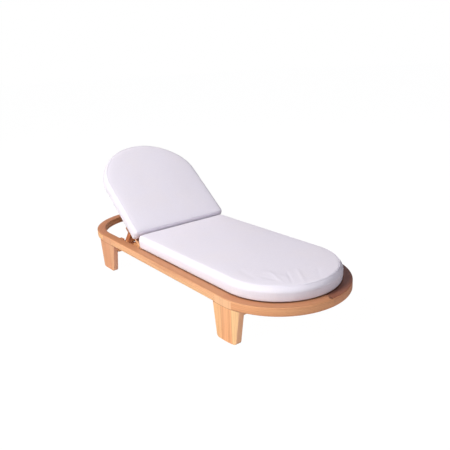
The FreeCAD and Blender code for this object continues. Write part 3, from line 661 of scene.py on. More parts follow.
@dataclass(frozen=True)
class Ring:
    """The oval ring: two rails and four quarter arcs, each a rounded profile along its run."""

    foot_tongue: tuple[float, float] = (0.600, 0.720)
    head_tongue: tuple[float, float] = (-0.650, -0.530)
    rail_steps: int = 27
    arc_steps: int = 46

    # The top share and top colour of each board are painted shade; the rails and foot arcs also get
    # a painted shade line inside the cushion's edge.
    RAIL = {"tone": 0.04, "top_shade": 0.84, "cap": linear(190, 131, 93),
            "tint": (0.25, linear(232, 178, 144)), "inner": COVER_RADIUS}
    HEAD_ARC = {"tone": 0.2, "top_shade": 0.60, "blush": 0.06}
    ARCS = {("foot", "right"): {"inner": COVER_RADIUS, "tone": 0.12, "top_shade": 0.66,
                                "cap": linear(176, 116, 82), "tint": (0.5, linear(222, 146, 104)),
                                "knots": ((1.0135, -0.0071, 0.229), (0.9995, 0.004, 0.2295))},
            # The foot arc on the left has its top painted dark: the cushion's cast shadow, painted
            # on.
            ("foot", "left"): {"inner": COVER_RADIUS, "tone": 0.2, "top_shade": 0.92,
                               "cap": linear(140, 82, 60), "tint": (0.45, linear(214, 138, 106))}}
    STEP = 1e-7
    SAME = 1e-6

    def profile(self, notched: bool) -> np.ndarray:
        """The ring's section as (radius, height): four round corners, and a step in the outer face
        below the shelf where a leg's tongue is let in."""
        cut = rounded_loop(S.inner, S.outer, S.ring_low, S.ring_top, S.ring_edge, 5)
        face = S.tongue_inner if notched else S.outer
        below = (cut[:, 1] < S.shelf) & (cut[:, 0] > (S.inner + S.outer) / 2)
        cut[below, 0] = np.minimum(cut[below, 0], face)
        return np.concatenate([[(face, S.shelf), (S.outer, S.shelf)], cut])

    def _stations(self, start: float, stop: float, count: int,
                  notches: Sequence[tuple[float, float]]) -> list[tuple[float, np.ndarray]]:
        """Even places with the section at each.

        They are doubled at each notch's edges, where the section steps, and the two ends are eased.

        Args:
            start, stop: the ends of the run.
            count: number of even places.
            notches: where each notch begins and ends.

        Returns:
            Pairs of a place and its section's two rows of numbers, in order.
        """
        run = [(float(place), False) for place in np.linspace(start, stop, count)]
        for low, high in notches:
            run = [(place, low < place < high or notched) for place, notched in run
                   if place in (start, stop)
                   or min(abs(place - low), abs(place - high)) > self.SAME]
            if low > start:
                run += [(low, False), (low + self.STEP, True)]
            if high < stop:
                run += [(high - self.STEP, True), (high, False)]
            run = [(place, notched or low <= place <= high and place in (start, stop))
                   for place, notched in run]
        stations = [(place, self.profile(notched)) for place, notched in sorted(run)]
        (first, head), (last, tail) = stations[0], stations[-1]
        eased = [(first, shrunk(head, EASE)), (first + EASE, head), *stations[1:-1],
                 (last - EASE, tail), (last, shrunk(tail, EASE))]
        return [(place, section.T) for place, section in eased]

    def rail(self, side: float) -> Outline:
        """A straight rail: (x, side * radius, height) and its grain coordinates."""
        notches = ((-S.hub, self.head_tongue[1]), (self.foot_tongue[0], S.hub))
        rows, grain = [], []
        for place, (radius, height) in self._stations(-S.hub, S.hub, self.rail_steps, notches):
            rows.append(np.column_stack([place + 0 * radius, side * radius, height]))
            grain.append(np.column_stack([place + 0 * radius, radius, height]))
        return np.array(rows), np.array(grain)

    def arc(self, way: float, side: float) -> Outline:
        """A quarter arc: (hub + way * radius * sine, side * radius * cosine, height).

        Near the rail the stations are planes of constant x, so that the notch's end is square, and
        they turn smoothly into radial planes.
        """
        notch = math.asin((self.foot_tongue[1] - S.hub) / S.outer)
        rows, grain = [], []
        notches = ((0.0, notch),) if way > 0 else ()
        for angle, (radius, height) in self._stations(0.0, QUARTER, self.arc_steps, notches):
            square = 1.0 - np.clip((angle - notch) / (notch * 2), 0.0, 1.0)
            sine = square * S.outer * math.sin(angle) / radius + (1 - square) * math.sin(angle)
            sine = np.clip(sine, 0, 1)
            rows.append(np.column_stack([way * (S.hub + radius * sine),
                                         side * radius * np.sqrt(1.0 - sine * sine), height]))
            grain.append(np.column_stack([angle * S.outer + 0 * radius, radius, height]))
        return np.array(rows), np.array(grain)

    def build(self) -> None:
        """Make and dress the six pieces."""
        for number, (side_name, side) in enumerate(SIDES):
            node = f"rail_{side_name}"
            board(f"ring_{node}", node, "base",
                  Teak(f"teak_{node}", Grain.OWN, 3 + number, **self.RAIL), *self.rail(side))
            for offset, (end, way) in enumerate((("foot", 1.0), ("head", -1.0))):
                node = f"{end}_arc_{side_name}"
                look = self.ARCS.get((end, side_name), self.HEAD_ARC)
                finish = Teak(f"teak_{node}", Grain.OWN, 11 + number * 2 + offset, **look)
                board(f"ring_{node}", node, "base", finish, *self.arc(way, side))


@dataclass(frozen=True)
class LegShape:
    """One leg's places along the lounger, from the middle outwards, in metres, and its looks."""

    end: str
    way: float
    near: float
    far: float
    near_taper: float
    far_taper: float
    tongue: tuple[float, float]
    staves: tuple[float, float]
    look: dict[str, Any]


@dataclass(frozen=True)
class Legs:
    """Four board legs: sections stacked up the height, each bent to the ring's curve."""

    edge: float = 0.0035
    corner: float = 0.016
    seam: float = 0.0008
    foot_ease: float = 0.0012
    tongue_edge: float = 0.0008
    heights: tuple[float, ...] = (0.0, 0.0012, 0.003, 0.006, 0.010, 0.016, 0.05, 0.10, 0.15,
                                  S.ring_low - 0.0016, S.ring_low - 0.0003)

    # The end shares are painted light on faces turned towards the foot; the head legs take more.
    SHAPES = (
        LegShape("foot", 1.0, 0.583, 0.766, 0.021, 0.025, (0.600, 0.720), (0.648, 0.718),
                 {"end": 0.6}),
        LegShape("head", -1.0, 0.497, 0.704, 0.040, 0.029, (0.530, 0.650), (0.562, 0.628),
                 {"tone": 0.25, "tint": (0.75, linear(212, 148, 112)), "contrast": 0.35,
                  "end": 0.95}),
    )

    def rows(self, shape: LegShape, side: float) -> np.ndarray:
        """The leg's stack: a round lower corner, tapering board, shadow seam, then the tongue.

        Each loop is a rounded rectangle in (distance, radius), bent so that beyond the hub
        y = sqrt(radius^2 - (distance - hub)^2).
        """
        rows = []

        def add(near: float, far: float, r_in: float, r_out: float, edge: float,
                height: float) -> None:
            """Add the loop at one height."""
            loop = rounded_loop(near, far, r_in, r_out, edge, 4, 18)
            over = np.maximum(loop[:, 0] - S.hub, 0.0)
            y = np.sqrt(np.maximum(loop[:, 1] ** 2 - over ** 2, 0.0))
            rows.append(np.column_stack([shape.way * loop[:, 0], side * y, 0 * y + height]))

        for height in self.heights:
            rise = max(self.corner - height, 0.0)
            curl = self.corner - math.sqrt(self.corner ** 2 - rise ** 2)
            ease = {self.heights[0]: self.foot_ease, self.heights[-1]: self.seam}.get(height, 0.0)
            down = 1.0 - height / S.ring_low
            add(shape.near + shape.near_taper * down + curl + ease,
                shape.far - shape.far_taper * down - curl - ease,
                S.leg_inner + ease, S.outer - ease, self.edge, height)
        low, high = shape.tongue
        for height, ease in ((S.ring_low - 0.0002, self.seam), (S.ring_low + 0.0006, 0.0),
                             (S.shelf - 0.0006, 0.0), (S.shelf, 0.0004)):
            add(low + ease, high - ease, S.tongue_inner, S.outer - ease, self.tongue_edge, height)
        return np.array(rows)

    def build(self) -> None:
        """Make and dress the four legs."""
        for number, (side_name, side) in enumerate(SIDES):
            for offset, shape in enumerate(self.SHAPES):
                node = f"{shape.end}_leg_{side_name}"
                staves = tuple(sorted(shape.way * edge for edge in shape.staves))
                finish = Teak(f"teak_{node}", Grain.UPRIGHT, 21 + number * 2 + offset,
                              staves=staves, **shape.look)
                board(f"leg_{shape.end}_{side_name}", node, "base", finish, self.rows(shape, side))


def slat_rows(x0: float, x1: float, top: float,
              reach: Callable[[np.ndarray], np.ndarray]) -> np.ndarray:
    """A cross slat: the rounded section in (x, z), carried from -reach(x) to +reach(x)."""
    edge, ease = 0.002, 0.0012
    loop = rounded_loop(x0, x1, top - S.slat_thick, top, edge, 3, 10)
    ends = (-1.0, -1.0, -0.75, -0.5, -0.25, 0.0, 0.25, 0.5, 0.75, 1.0, 1.0)
    rows = []
    for number, end in enumerate(ends):
        tip = number in (0, len(ends) - 1)
        section = shrunk(loop, ease) if tip else loop
        far = reach(loop[:, 0]) - (0.0 if tip else ease) * (abs(end) == 1.0)
        rows.append(np.column_stack([section[:, 0], end * far, section[:, 1]]))
    return np.array(rows)


@dataclass(frozen=True)
class Deck:
    """The seat's twelve slats, clipped to the ring."""

    rear: float = -0.228
    front: float = 0.947
    gap: float = 0.015
    count: int = 12

    def reach(self, x: np.ndarray) -> np.ndarray:
        """Half the slat's length at x: straight, then a circle about the foot hub."""
        return np.sqrt(np.maximum(S.slat_reach ** 2 - np.maximum(x - S.hub, 0.0) ** 2, 1e-8))

    def build(self) -> None:
        """Make and dress the slats."""
        width = (self.front - self.rear - self.gap * (self.count - 1)) / self.count
        for number in range(self.count):
            x0 = self.rear + (width + self.gap) * number
            name = f"slat_{number + 1:02d}"
            board(f"deck_{name}", f"seat_{name}", "base",
                  Teak(f"teak_seat_{name}", Grain.ACROSS, 31 + number, 0.1 + 0.1 * (number % 3)),
                  slat_rows(x0, x0 + width, S.deck_top, self.reach))


@dataclass(frozen=True)
class Arch:
    """The backrest's three-centred outline: on each side a shoulder arc, then one crown arc."""

    half: float
    rise: float
    shoulder: float
    along: float

    @property
    def crown(self) -> float:
        """The crown's radius, from the tangent condition with the shoulder."""
        side = self.half - self.shoulder
        return (side ** 2 + self.rise ** 2 - self.shoulder ** 2) / (2 * (self.rise - self.shoulder))

    @property
    def crown_hub(self) -> float:
        """Distance up the back of the crown's centre."""
        return self.along + self.rise - self.crown

    @property
    def turn(self) -> float:
        """Angle at which the shoulder hands over to the crown, from straight sideways."""
        return math.atan2(self.along - self.crown_hub, self.half - self.shoulder)

    def reach(self, along: np.ndarray, inset: float) -> np.ndarray:
        """Half width at a distance up the back, set in all round."""
        meet = self.along + (self.shoulder - inset) * math.sin(self.turn)
        over = np.maximum(along - self.along, 0.0)
        shoulder = np.sqrt(np.maximum((self.shoulder - inset) ** 2 - over ** 2, 0.0))
        crown = np.sqrt(np.maximum((self.crown - inset) ** 2 - (along - self.crown_hub) ** 2, 1e-8))
        return np.where(along < meet, self.half - self.shoulder + shoulder, crown)

    def stations(self, steps: int) -> list[tuple[float, float, float, float]]:
        """Places round half the arch: (centre across, centre along, radius, angle)."""
        cut = int(round(steps * self.turn / QUARTER))
        return [*((self.half - self.shoulder, self.along, self.shoulder, angle)
                  for angle in np.linspace(0, self.turn, cut + 1)),
                *((0.0, self.crown_hub, self.crown, angle)
                  for angle in np.linspace(self.turn, QUARTER, steps - cut + 1)[1:])]

    def outline(self, start: float, corner: float, inset: float, count: int) -> Outline:
        """The closed outline at even spacing.

        Args:
            start: distance up the back of the straight lower edge.
            corner: radius of the two lower corners.
            inset: how far the outline is set in.
            count: number of points.

        Returns:
            Points (across, along) and their outward normals, each of shape (count, 2).
        """
        quarter = np.linspace(0.0, QUARTER, 40)
        low, side = start + inset, self.half - inset
        corner_points = np.column_stack([side - corner + corner * np.sin(quarter),
                                         low + corner - corner * np.cos(quarter)])
        arch = [(hub + (radius - inset) * math.cos(angle),
                 along + (radius - inset) * math.sin(angle))
                for hub, along, radius, angle in self.stations(90)]
        half = np.concatenate([corner_points, arch])
        return even_loop(np.concatenate([half, half[::-1] * np.array([-1.0, 1.0])]), count)


def even_loop(points: np.ndarray, count: int) -> Outline:
    """Resample a closed line at even spacing and give outward normals from its tangent."""
    closed = np.concatenate([points, points[:1]])
    step = np.linalg.norm(np.diff(closed, axis=0), axis=1)
    closed = closed[np.concatenate([[True], step > 1e-7])]
    length = np.concatenate([[0.0], np.cumsum(np.linalg.norm(np.diff(closed, axis=0), axis=1))])
    want = np.linspace(0.0, length[-1], count, endpoint=False)
    even = np.column_stack([np.interp(want, length, closed[:, k]) for k in (0, 1)])
    tangent = np.roll(even, -1, 0) - np.roll(even, 1, 0)
    tangent /= np.linalg.norm(tangent, axis=1)[:, None]
    normal = np.column_stack([tangent[:, 1], -tangent[:, 0]])
    outwards = np.sum(normal * (even - (even.min(0) + even.max(0)) / 2)) >= 0
    return even, normal if outwards else -normal


FRAME_ARCH = Arch(S.back_half, S.back_rise, S.back_shoulder, S.back_along)


@dataclass(frozen=True)
class BackFrame:
    """The D-shaped back frame: stiles, arch halves, lower rail and six slats in its rebate."""

    start: float = 0.028
    edge: float = 0.0022
    lip: float = 0.0002
    arch_steps: int = 44
    slat_gap: float = 0.015
    slat_fit: float = 0.0005
    count: int = 6

    def section(self, rebated: bool) -> np.ndarray:
        """The frame's section as (inset from the outline, height), with or without the rebate."""
        loop = rounded_loop(0.0, S.back_band, S.back_low, S.back_top, self.edge, 3)
        step = S.back_band - S.rebate
        floor = S.back_top - S.slat_thick
        if rebated:
            loop[(loop[:, 0] > step) & (loop[:, 1] > floor), 1] = floor
        inside = [[step + self.lip, floor if rebated else S.back_top], [step, S.back_top]]
        top = np.nonzero((loop[:, 1] >= floor) & (loop[:, 0] > step))[0]
        return np.insert(loop, top.max() + 1, inside, axis=0)

    def _tipped(self, rebated: bool, tip: bool) -> np.ndarray:
        """A station's rows of insets and heights, eased at a tip."""
        section = self.section(rebated)
        return (shrunk(section, EASE) if tip else section).T

    def stile(self, side: float) -> np.ndarray:
        """A stile: the section carried straight up the back, its rebate starting above the rail."""
        rail_end = self.start + S.back_band
        run = ((self.start, False), (self.start + 0.0006, False), (rail_end, False),
               (rail_end, True), (0.2, True), (0.34, True), (S.back_along - EASE, True),
               (S.back_along, True))
        rows = []
        for number, (along, rebated) in enumerate(run):
            inset, height = self._tipped(rebated, number in (0, len(run) - 1))
            rows.append(np.column_stack([0 * inset - along, side * (S.back_half - inset), height]))
        return S.back_to_world(np.array(rows))

    def arch(self, side: float) -> np.ndarray:
        """Half the arch: at each station, centre + (radius - inset) * (cos, sin)."""
        run = FRAME_ARCH.stations(self.arch_steps)
        rows = []
        for number, (hub, along, radius, angle) in enumerate(run):
            inset, height = self._tipped(True, number in (0, len(run) - 1))
            reach = radius - inset
            rows.append(np.column_stack([-(along + reach * math.sin(angle)),
                                         side * (hub + reach * math.cos(angle)), height]))
        return S.back_to_world(np.array(rows))

    def lower_rail(self) -> np.ndarray:
        """The lower rail between the stiles: a rounded section carried across."""
        loop = rounded_loop(self.start, self.start + S.back_band, S.back_low, S.back_top,
                            self.edge, 3)
        inner = S.back_half - S.back_band
        rows = []
        for across in (-inner, -inner + EASE, 0.0, inner - EASE, inner):
            section = shrunk(loop, EASE) if abs(across) == inner else loop
            along, height = section.T
            rows.append(np.column_stack([-along, 0 * along + across, height]))
        return S.back_to_world(np.array(rows))

    def slats(self) -> list[np.ndarray]:
        """The six slats from the top down, each end following the frame's rebate."""
        top = S.back_along + S.back_rise - S.back_band - self.slat_gap
        low = self.start + S.back_band + self.slat_gap
        width = (top - low - self.slat_gap * (self.count - 1)) / self.count
        inset = S.back_band - S.rebate + self.slat_fit
        highs = [top - (width + self.slat_gap) * number for number in range(self.count)]
        return [S.back_to_world(slat_rows(-high, width - high, S.back_top,
                                          lambda x: FRAME_ARCH.reach(-x, inset))) for high in highs]

    def build(self) -> None:
        """Make and dress the frame and its slats."""
        made = []
        for number, (side, way) in enumerate(SIDES):
            made += [(f"frame_stile_{side}", f"stile_{side}", Grain.ALONG, 51 + number, 0.15,
                      -S.tilt, self.stile(way)),
                     (f"frame_arch_{side}", f"arch_{side}", Grain.ACROSS, 53 + number, 0.2, 0.0,
                      self.arch(way))]
        made += [("frame_lower_rail", "lower_rail", Grain.ACROSS, 55, 0.1, 0.0, self.lower_rail())]
        for number, rows in enumerate(self.slats()):
            node = f"slat_{number + 1:02d}"
            tone = 0.08 + 0.11 * (number % 3)
            made.append((f"rest_{node}", node, Grain.ACROSS, 61 + number, tone, 0.0, rows))
        for name, node, grain, seed, tone, tilt, rows in made:
            board(f"back_{name}", f"back_{node}", "back",
                  Teak(f"teak_back_{node}", grain, seed, tone, tilt=tilt), rows)


@dataclass(frozen=True)
class KeptSolids:
    """The pieces whose solids are already right: each board gets its own material."""

    first_seed: int = 72

    # Painted shade: tints that darken the hinge ears, prop hangers and prop struts, which stand in
    # the back cushion's shadow.
    SHADE_DARK = (0.6, linear(132, 76, 50))
    SHADE_RUSSET = (0.8, linear(180, 104, 68))
    GROUPS = (
        (("head_bearer", "foot_bearer", "hinge_rail", "prop_foot_bar", "ring_tenons", "leg_dowels",
          "back_tenons", "ledger_foot"), Grain.ACROSS, {}),
        (("ledger_left", "ledger_right", "rack_left", "rack_right", "pivot_block_left",
          "pivot_block_right"), Grain.ALONG, {}),
        (("hinge_ear_left", "hinge_ear_right", "prop_hanger_left", "prop_hanger_right"),
         Grain.ALONG, {"tilt": -S.tilt, "tint": SHADE_DARK}),
        (("prop_strut_left", "prop_strut_right"), Grain.ALONG, {"tilt": 51.6, "tint": SHADE_RUSSET}),
    )
    HARDWARE = {"pivot_bolts": Metal("steel_pivot_bolts"), "prop_bolts": Metal("steel_prop_bolts"),
                "pivot_washers": Speckled("nylon_pivot_washers", 900.0, 2.0, linear(38, 38, 40),
                                          linear(54, 54, 56), (0.5, 0.12))}

    def build(self, frame: dict) -> None:
        """Dress each node in place."""
        boards = [(name, grain, look) for names, grain, look in self.GROUPS for name in names]
        finishes = {name: Teak(f"teak_{name}", grain, seed, 0.1 + 0.1 * (seed % 3), **look)
                    for seed, (name, grain, look) in enumerate(boards, self.first_seed)}
        for name, finish in (finishes | self.HARDWARE).items():
            mesh = frame["nodes"][name].data
            mesh.materials.clear()
            mesh.materials.append(finish.build())
            LOG.info("dressed %s", name)


# Cushions.


def apply_modifiers(piece: bpy.types.Object) -> None:
    """Replace the mesh by what its modifiers make of it."""
    graph = bpy.context.evaluated_depsgraph_get()
    graph.update()
    mesh = bpy.data.meshes.new_from_object(piece.evaluated_get(graph))
    old = piece.data
    piece.modifiers.clear()
    piece.data = mesh
    bpy.data.meshes.remove(old)
    mesh.name = piece.name


def fetched(items: Any, name: str, width: int = 1, kind: type = np.int32) -> np.ndarray:
    """One property of every item in a mesh's collection, as a flat array."""
    flat = np.empty(len(items) * width, kind)
    items.foreach_get(name, flat)
    return flat


def read_points(piece: bpy.types.Object) -> np.ndarray:
    """The mesh's vertices, shape (n, 3)."""
    return fetched(piece.data.vertices, "co", 3, np.float64).reshape(-1, 3)


def write_points(piece: bpy.types.Object, points: np.ndarray) -> None:
    """Put the vertices back."""
    piece.data.vertices.foreach_set("co", points.ravel())
    piece.data.update()


def write_weave(mesh: bpy.types.Mesh, weave: np.ndarray) -> None:
    """Give every face corner its weave coordinates in metres."""
    mesh.uv_layers.new(name="weave").data.foreach_set("uv", weave.astype(np.float32).ravel())


def bell(values: np.ndarray, centre: float, width: float) -> np.ndarray:
    """1 at the centre, falling off on both sides."""
    return np.exp(-((values - centre) / width) ** 2)


def rising(values: np.ndarray, start: float, run: float) -> np.ndarray:
    """0 up to the start, 1 after the run, straight between; a negative run falls instead."""
    return np.clip((values - start) / run, 0.0, 1.0)


@dataclass(frozen=True)
class Crease:
    """A soft crease, or a swelling if its depth is negative: a line in the cushion's own plane."""

    start: tuple[float, float]
    end: tuple[float, float]
    width: float
    depth: float

    def lift(self, points: np.ndarray) -> np.ndarray:
        """Height change at points (n, 2): a bell across the line, fading out towards both ends."""
        a, b = np.array(self.start), np.array(self.end)
        run = b - a
        along = np.clip((points - a) @ run / (run @ run), 0.0, 1.0)
        gap = np.linalg.norm(points - (a + along[:, None] * run), axis=1)
        return -self.depth * bell(gap, 0.0, self.width) * (0.35 + 0.65 * np.sin(math.pi * along))


@dataclass(frozen=True)
class Cushion:
    """A boxed foam cushion: two panels and a boxing strip, swelled by a cloth simulation.

    The form is drawn flat in its own plane (u, v) with its height w, and place() puts it in the
    lounger's frame. hinge_end is the sense of u in which the other cushion lies; square is how
    crisp the top edge is all round; the rim's painted shade darkens it towards the sides and
    towards -u.
    """

    name: str
    node: str
    body: str
    outline: Callable[[float, int], Outline]
    place: Callable[[np.ndarray], np.ndarray]
    low: float
    seed: int
    hinge_end: float
    level: float = 1.0
    square: float = 0.0
    # Painted shade on the rim: shares towards the sides and towards -u.
    rim_shade: tuple[float, float] = (0.0, 0.0)
    creases: tuple[Crease, ...] = ()
    voxel: float = 0.007
    swell: float = 0.0035
    welt: float = 0.0013
    seam: float = 0.0795
    seam_inset: float = 0.0086
    low_inset: float = 0.0018
    stitch: float = 0.0595
    stitch_pitch: float = 0.0062
    low_seam: float = 0.0065
    fill: float = 0.9
    firmness: float = 0.72
    hold_height: float = 0.0035
    hold_depth: float = 0.018
    frames: int = 20
    steps: int = 420
    seam_steps: int = 900
    stitch_steps: int = 4000
    chunk: int = 4000
    welt_sides: int = 8
    welt_run: float = 3.4

    # Height above the underside and inset from the cut outline: rolled under at the bottom, upright
    # boxing over the frame, a strip that leans in, then the nearly flat top panel.
    PROFILE = ((0.0004, 0.0160), (0.0012, 0.0110), (0.0026, 0.0068), (0.0050, 0.0026),
               (0.0075, -0.0020), (0.0115, -0.0052), (0.0240, -0.0064), (0.0400, -0.0072),
               (0.0540, -0.0078), (0.0590, -0.0076), (0.0625, -0.0052), (0.0685, -0.0010),
               (0.0745, 0.0032), (0.0788, 0.0066))
    PANEL = ((0.0814, 0.0095), (0.0830, 0.0140), (0.0837, 0.0220), (0.0841, 0.0360),
             (0.0844, 0.0560), (0.0846, 0.0850))
    CLOTH = {"quality": 5, "mass": 0.3, "tension_stiffness": 12, "compression_stiffness": 12,
             "bending_stiffness": 0.8, "use_pressure": True, "uniform_pressure_force": 4.0,
             "vertex_group_mass": "held"}
    # A stitch's five stations: along the seam, the thread's radius, and its lift off the cloth.
    STITCH = np.array([(-0.0019, 0.0, -0.0002), (-0.0014, 0.00034, 0.0001), (0.0, 0.0004, 0.00032),
                       (0.0014, 0.00034, 0.0001), (0.0019, 0.0, -0.0002)])

    def _box(self) -> bpy.types.Object:
        """The start form: the outline set in by the profile at each level."""
        rows = []
        for height, inset in self.PROFILE + self.PANEL:
            points, normal = self.outline(inset, self.steps)
            points = points + normal * (inset - self._crisper(height, inset, normal[:, 0]))[:, None]
            rows.append(np.column_stack([points, np.full(len(points), self.low + height)]))
        return shell(self.name, np.array(rows))

    def _crisper(self, height: Number, inset: Number, toward: np.ndarray) -> np.ndarray:
        """The inset at a height, less a part of the shoulder's lean: all round by the square share,
        and fully where the cushion faces the hinge."""
        share = 0.7 * np.clip(toward * self.hinge_end * 1.5, self.square, 1.0) * (height > 0.06)
        return inset - share * np.clip(inset + 0.0076, 0.0, 0.016)

    def _seam_distance(self, points: np.ndarray) -> tuple[np.ndarray, np.ndarray, np.ndarray]:
        """For each point (n, 3): how far it is inside the outline, its length along it, and the
        outward direction there."""
        ring, normal = self.outline(0.0, self.seam_steps)
        step = np.linalg.norm(np.roll(ring, -1, 0) - ring, axis=1).mean()
        chunks = np.split(points[:, :2], range(self.chunk, len(points), self.chunk))
        near = np.concatenate([((part[:, None] - ring[None]) ** 2).sum(-1).argmin(1)
                               for part in chunks])
        way = normal[near]
        return ((ring[near] - points[:, :2]) * way).sum(1), near * step, way

    def _simulate(self, piece: bpy.types.Object) -> None:
        """Swell the form under a little pressure, with its seams and its resting panel held."""
        remesh = piece.modifiers.new("voxels", "REMESH")
        remesh.mode = "VOXEL"
        remesh.voxel_size = self.voxel
        apply_modifiers(piece)
        start = read_points(piece)
        inside, _, _ = self._seam_distance(start)
        height = start[:, 2] - self.low
        at_seam = (np.abs(height - self.seam) < self.hold_height) & (inside < self.hold_depth)
        held = (height < self.low_seam) | at_seam
        group = piece.vertex_groups.new(name="held")
        group.add(np.nonzero(held)[0].tolist(), 1.0, "REPLACE")
        cloth = piece.modifiers.new("swell", "CLOTH")
        for name, value in self.CLOTH.items():
            setattr(cloth.settings, name, value)
        cloth.settings.effector_weights.gravity = 0.0
        cloth.collision_settings.use_collision = False
        cloth.collision_settings.use_self_collision = False
        cloth.point_cache.frame_start = 1
        cloth.point_cache.frame_end = self.frames
        for number in range(1, self.frames + 1):
            bpy.context.scene.frame_set(number)
        apply_modifiers(piece)
        bpy.context.scene.frame_set(1)
        moved = read_points(piece) - start
        far = np.linalg.norm(moved, axis=1)
        LOG.info("%s swelled by up to %.1f mm", self.name, far.max() / MM)
        capped = self.swell * np.tanh(far / self.swell)
        moved *= (capped / np.maximum(far, 1e-9))[:, None]
        write_points(piece, start + moved)
        piece.vertex_groups.clear()
        finer = piece.modifiers.new("smooth", "SUBSURF")
        finer.levels = finer.render_levels = 1
        apply_modifiers(piece)

    def _tailor(self, piece: bpy.types.Object) -> None:
        """Work the seams and the hand of the cloth into the swelled form.

        The foam first draws the cover back most of the way to the cut form, which keeps its lines
        crisp. A seam pulls the cloth in by a narrow bell along its line, and the stitches more
        lightly; the panel lies unevenly by a few slow waves; creases are added one by one.
        """
        points = read_points(piece)
        inside, length, way = self._seam_distance(points)
        height = points[:, 2] - self.low
        drawn, panel = np.array(self.PROFILE), np.array(self.PANEL)
        wanted = self._crisper(height, np.interp(height, drawn[:, 0], drawn[:, 1]), way[:, 0])
        firm = (rising(height, 0.004, 0.004) * rising(height, 0.0805, -0.002)
                * rising(inside, 0.020, -0.005))
        points[:, :2] -= way * ((wanted - inside) * self.firmness * firm)[:, None]
        flat = rising(inside, 0.009, 0.004) * rising(height, 0.070, 0.008)
        cut = np.interp(inside, panel[:, 1], panel[:, 0])
        points[:, 2] += (cut - height) * self.firmness * flat
        pull = sum(depth * bell(height, line, width) for depth, line, width in (
            (0.0016, self.seam, 0.0024), (0.0012, self.low_seam, 0.0026),
            (0.0010, self.stitch, 0.0022)))
        wave = (np.sin(length * 21.0 + self.seed) + 0.7 * np.sin(length * 47.0 + 2.1 * self.seed)
                + 0.5 * np.sin(length * 83.0 + self.seed * 0.7))
        pull += 0.0005 * wave * np.sin(math.pi * rising(height, 0.0, self.seam)) ** 2
        points[:, :2] -= way * (pull * (inside < 0.02))[:, None]
        u, v = points[:, 0], points[:, 1]
        above = rising(height, self.seam, 0.010)
        slow = (np.sin(u * 7.3 + self.seed) * np.sin(v * 9.1 + 1.3 * self.seed)
                + 0.6 * np.sin(u * 13.7 + v * 6.0 + self.seed) + 0.35 * np.sin(u * 4.1 - v * 19.0))
        points[:, 2] += 0.0007 * slow * above
        for crease in self.creases:
            points[:, 2] += crease.lift(points[:, :2]) * above
        write_points(piece, points)

    def _weave(self, piece: bpy.types.Object) -> None:
        """Weave coordinates, (u, v) on the panels and (length round, height) on the boxing; how far
        each point rises; and how much painted shade its rim takes."""
        mesh = piece.data
        points = read_points(piece)
        inside, length, way = self._seam_distance(points)
        corner = fetched(mesh.loops, "vertex_index")
        totals = fetched(mesh.polygons, "loop_total")
        facing = fetched(mesh.polygons, "normal", 3, np.float32).reshape(-1, 3)
        flat = np.repeat(np.abs(facing[:, 2]) > 0.7, totals)
        first = np.repeat(length[corner[np.concatenate([[0], np.cumsum(totals)[:-1]])]], totals)
        whole = length.max() + 0.004
        run = length[corner]
        run = run + whole * ((first - run) > whole / 2) - whole * ((run - first) > whole / 2)
        place = points[corner]
        boxing = np.column_stack([run, place[:, 2]])
        write_weave(mesh, np.where(flat[:, None], place[:, :2], boxing))
        store(mesh, "rise", "FLOAT", points[:, 2] - self.low)
        # Painted shade on the rim, towards the sides and towards -u.
        aside, behind = self.rim_shade
        share = aside * np.abs(way[:, 1]) ** 2 + behind * np.clip(-way[:, 0], 0.0, 1.0)
        store(mesh, "rim_shade", "FLOAT", rising(inside, 0.014, -0.005) * share)

    def _welt(self, label: str, height: float, inset: float, fabric: bpy.types.Material) -> None:
        """A seam's narrow self-made welt: a small round profile carried round the outline."""
        ring, normal = self.outline(inset, self.steps)
        count, sides = len(ring), self.welt_sides
        angle = np.linspace(0.0, TURN, sides, endpoint=False)
        out = np.cos(angle)[None, :, None] * normal[:, None, :] * self.welt
        lift = (self.low + height + self.welt * np.sin(angle))[None, :, None]
        lift = np.broadcast_to(lift, (count, sides, 1))
        rows = np.concatenate([ring[:, None, :] + out, lift], -1)
        index = np.arange(count * sides).reshape(-1, sides)
        quads = bridge(index, np.roll(index, -1, 0))
        piece = make_object(f"{self.name}_{label}_welt", self.place(rows.reshape(-1, 3)),
                            quads.tolist(), ROUND)
        weave = np.column_stack([np.repeat(np.linspace(0.0, self.welt_run, count), sides),
                                 np.tile(np.linspace(0.0, TURN * self.welt, sides), count)])
        write_weave(piece.data, weave[fetched(piece.data.loops, "vertex_index")])
        dress(piece, fabric, self.body, "cushion_fabric")

    def _stitches(self, piece: bpy.types.Object) -> None:
        """The topstitching: short threads laid on the boxing just under the top seam."""
        tree = BVHTree.FromObject(piece, bpy.context.evaluated_depsgraph_get())
        ring, normal = self.outline(0.0, self.stitch_steps)
        total = float(np.linalg.norm(np.roll(ring, -1, 0) - ring, axis=1).sum())
        count = int(total / self.stitch_pitch)
        chosen = (np.arange(count) * len(ring) / count).astype(int)
        hits = []
        for spot, way in zip(ring[chosen], normal[chosen]):
            start = Vector((*(spot + way * 0.03), self.low + self.stitch))
            hit, facing, _, _ = tree.ray_cast(start, Vector((-way[0], -way[1], 0.0)))
            hits.append((*hit, *facing) if hit is not None else (*start, way[0], way[1], 0.0))
        centre, out = np.split(np.array(hits)[:, None, None, :], 2, -1)
        way = normal[chosen]
        run = np.column_stack([-way[:, 1], way[:, 0], np.zeros(count)])[:, None, None]
        along, radius, lift = self.STITCH.T[:, None, :, None, None]
        angle = np.linspace(0.0, TURN, 5, endpoint=False)[None, None, :, None]
        rows = (centre + along * run + (lift + radius * np.sin(angle)) * out
                + radius * np.cos(angle) * np.cross(out, run))
        index = np.arange(count * 25).reshape(count, 5, 5)
        made = make_object(f"{self.name}_topstitch", self.place(rows.reshape(-1, 3)),
                           bridge(index[:, :-1], index[:, 1:]).tolist(), ROUND)
        thread = Speckled(f"thread_{self.name}", 2400.0, 1.0, linear(214, 208, 216),
                          linear(236, 232, 236), (0.6, 0.1))
        dress(made, thread.build(), self.body, "cushion_fabric")

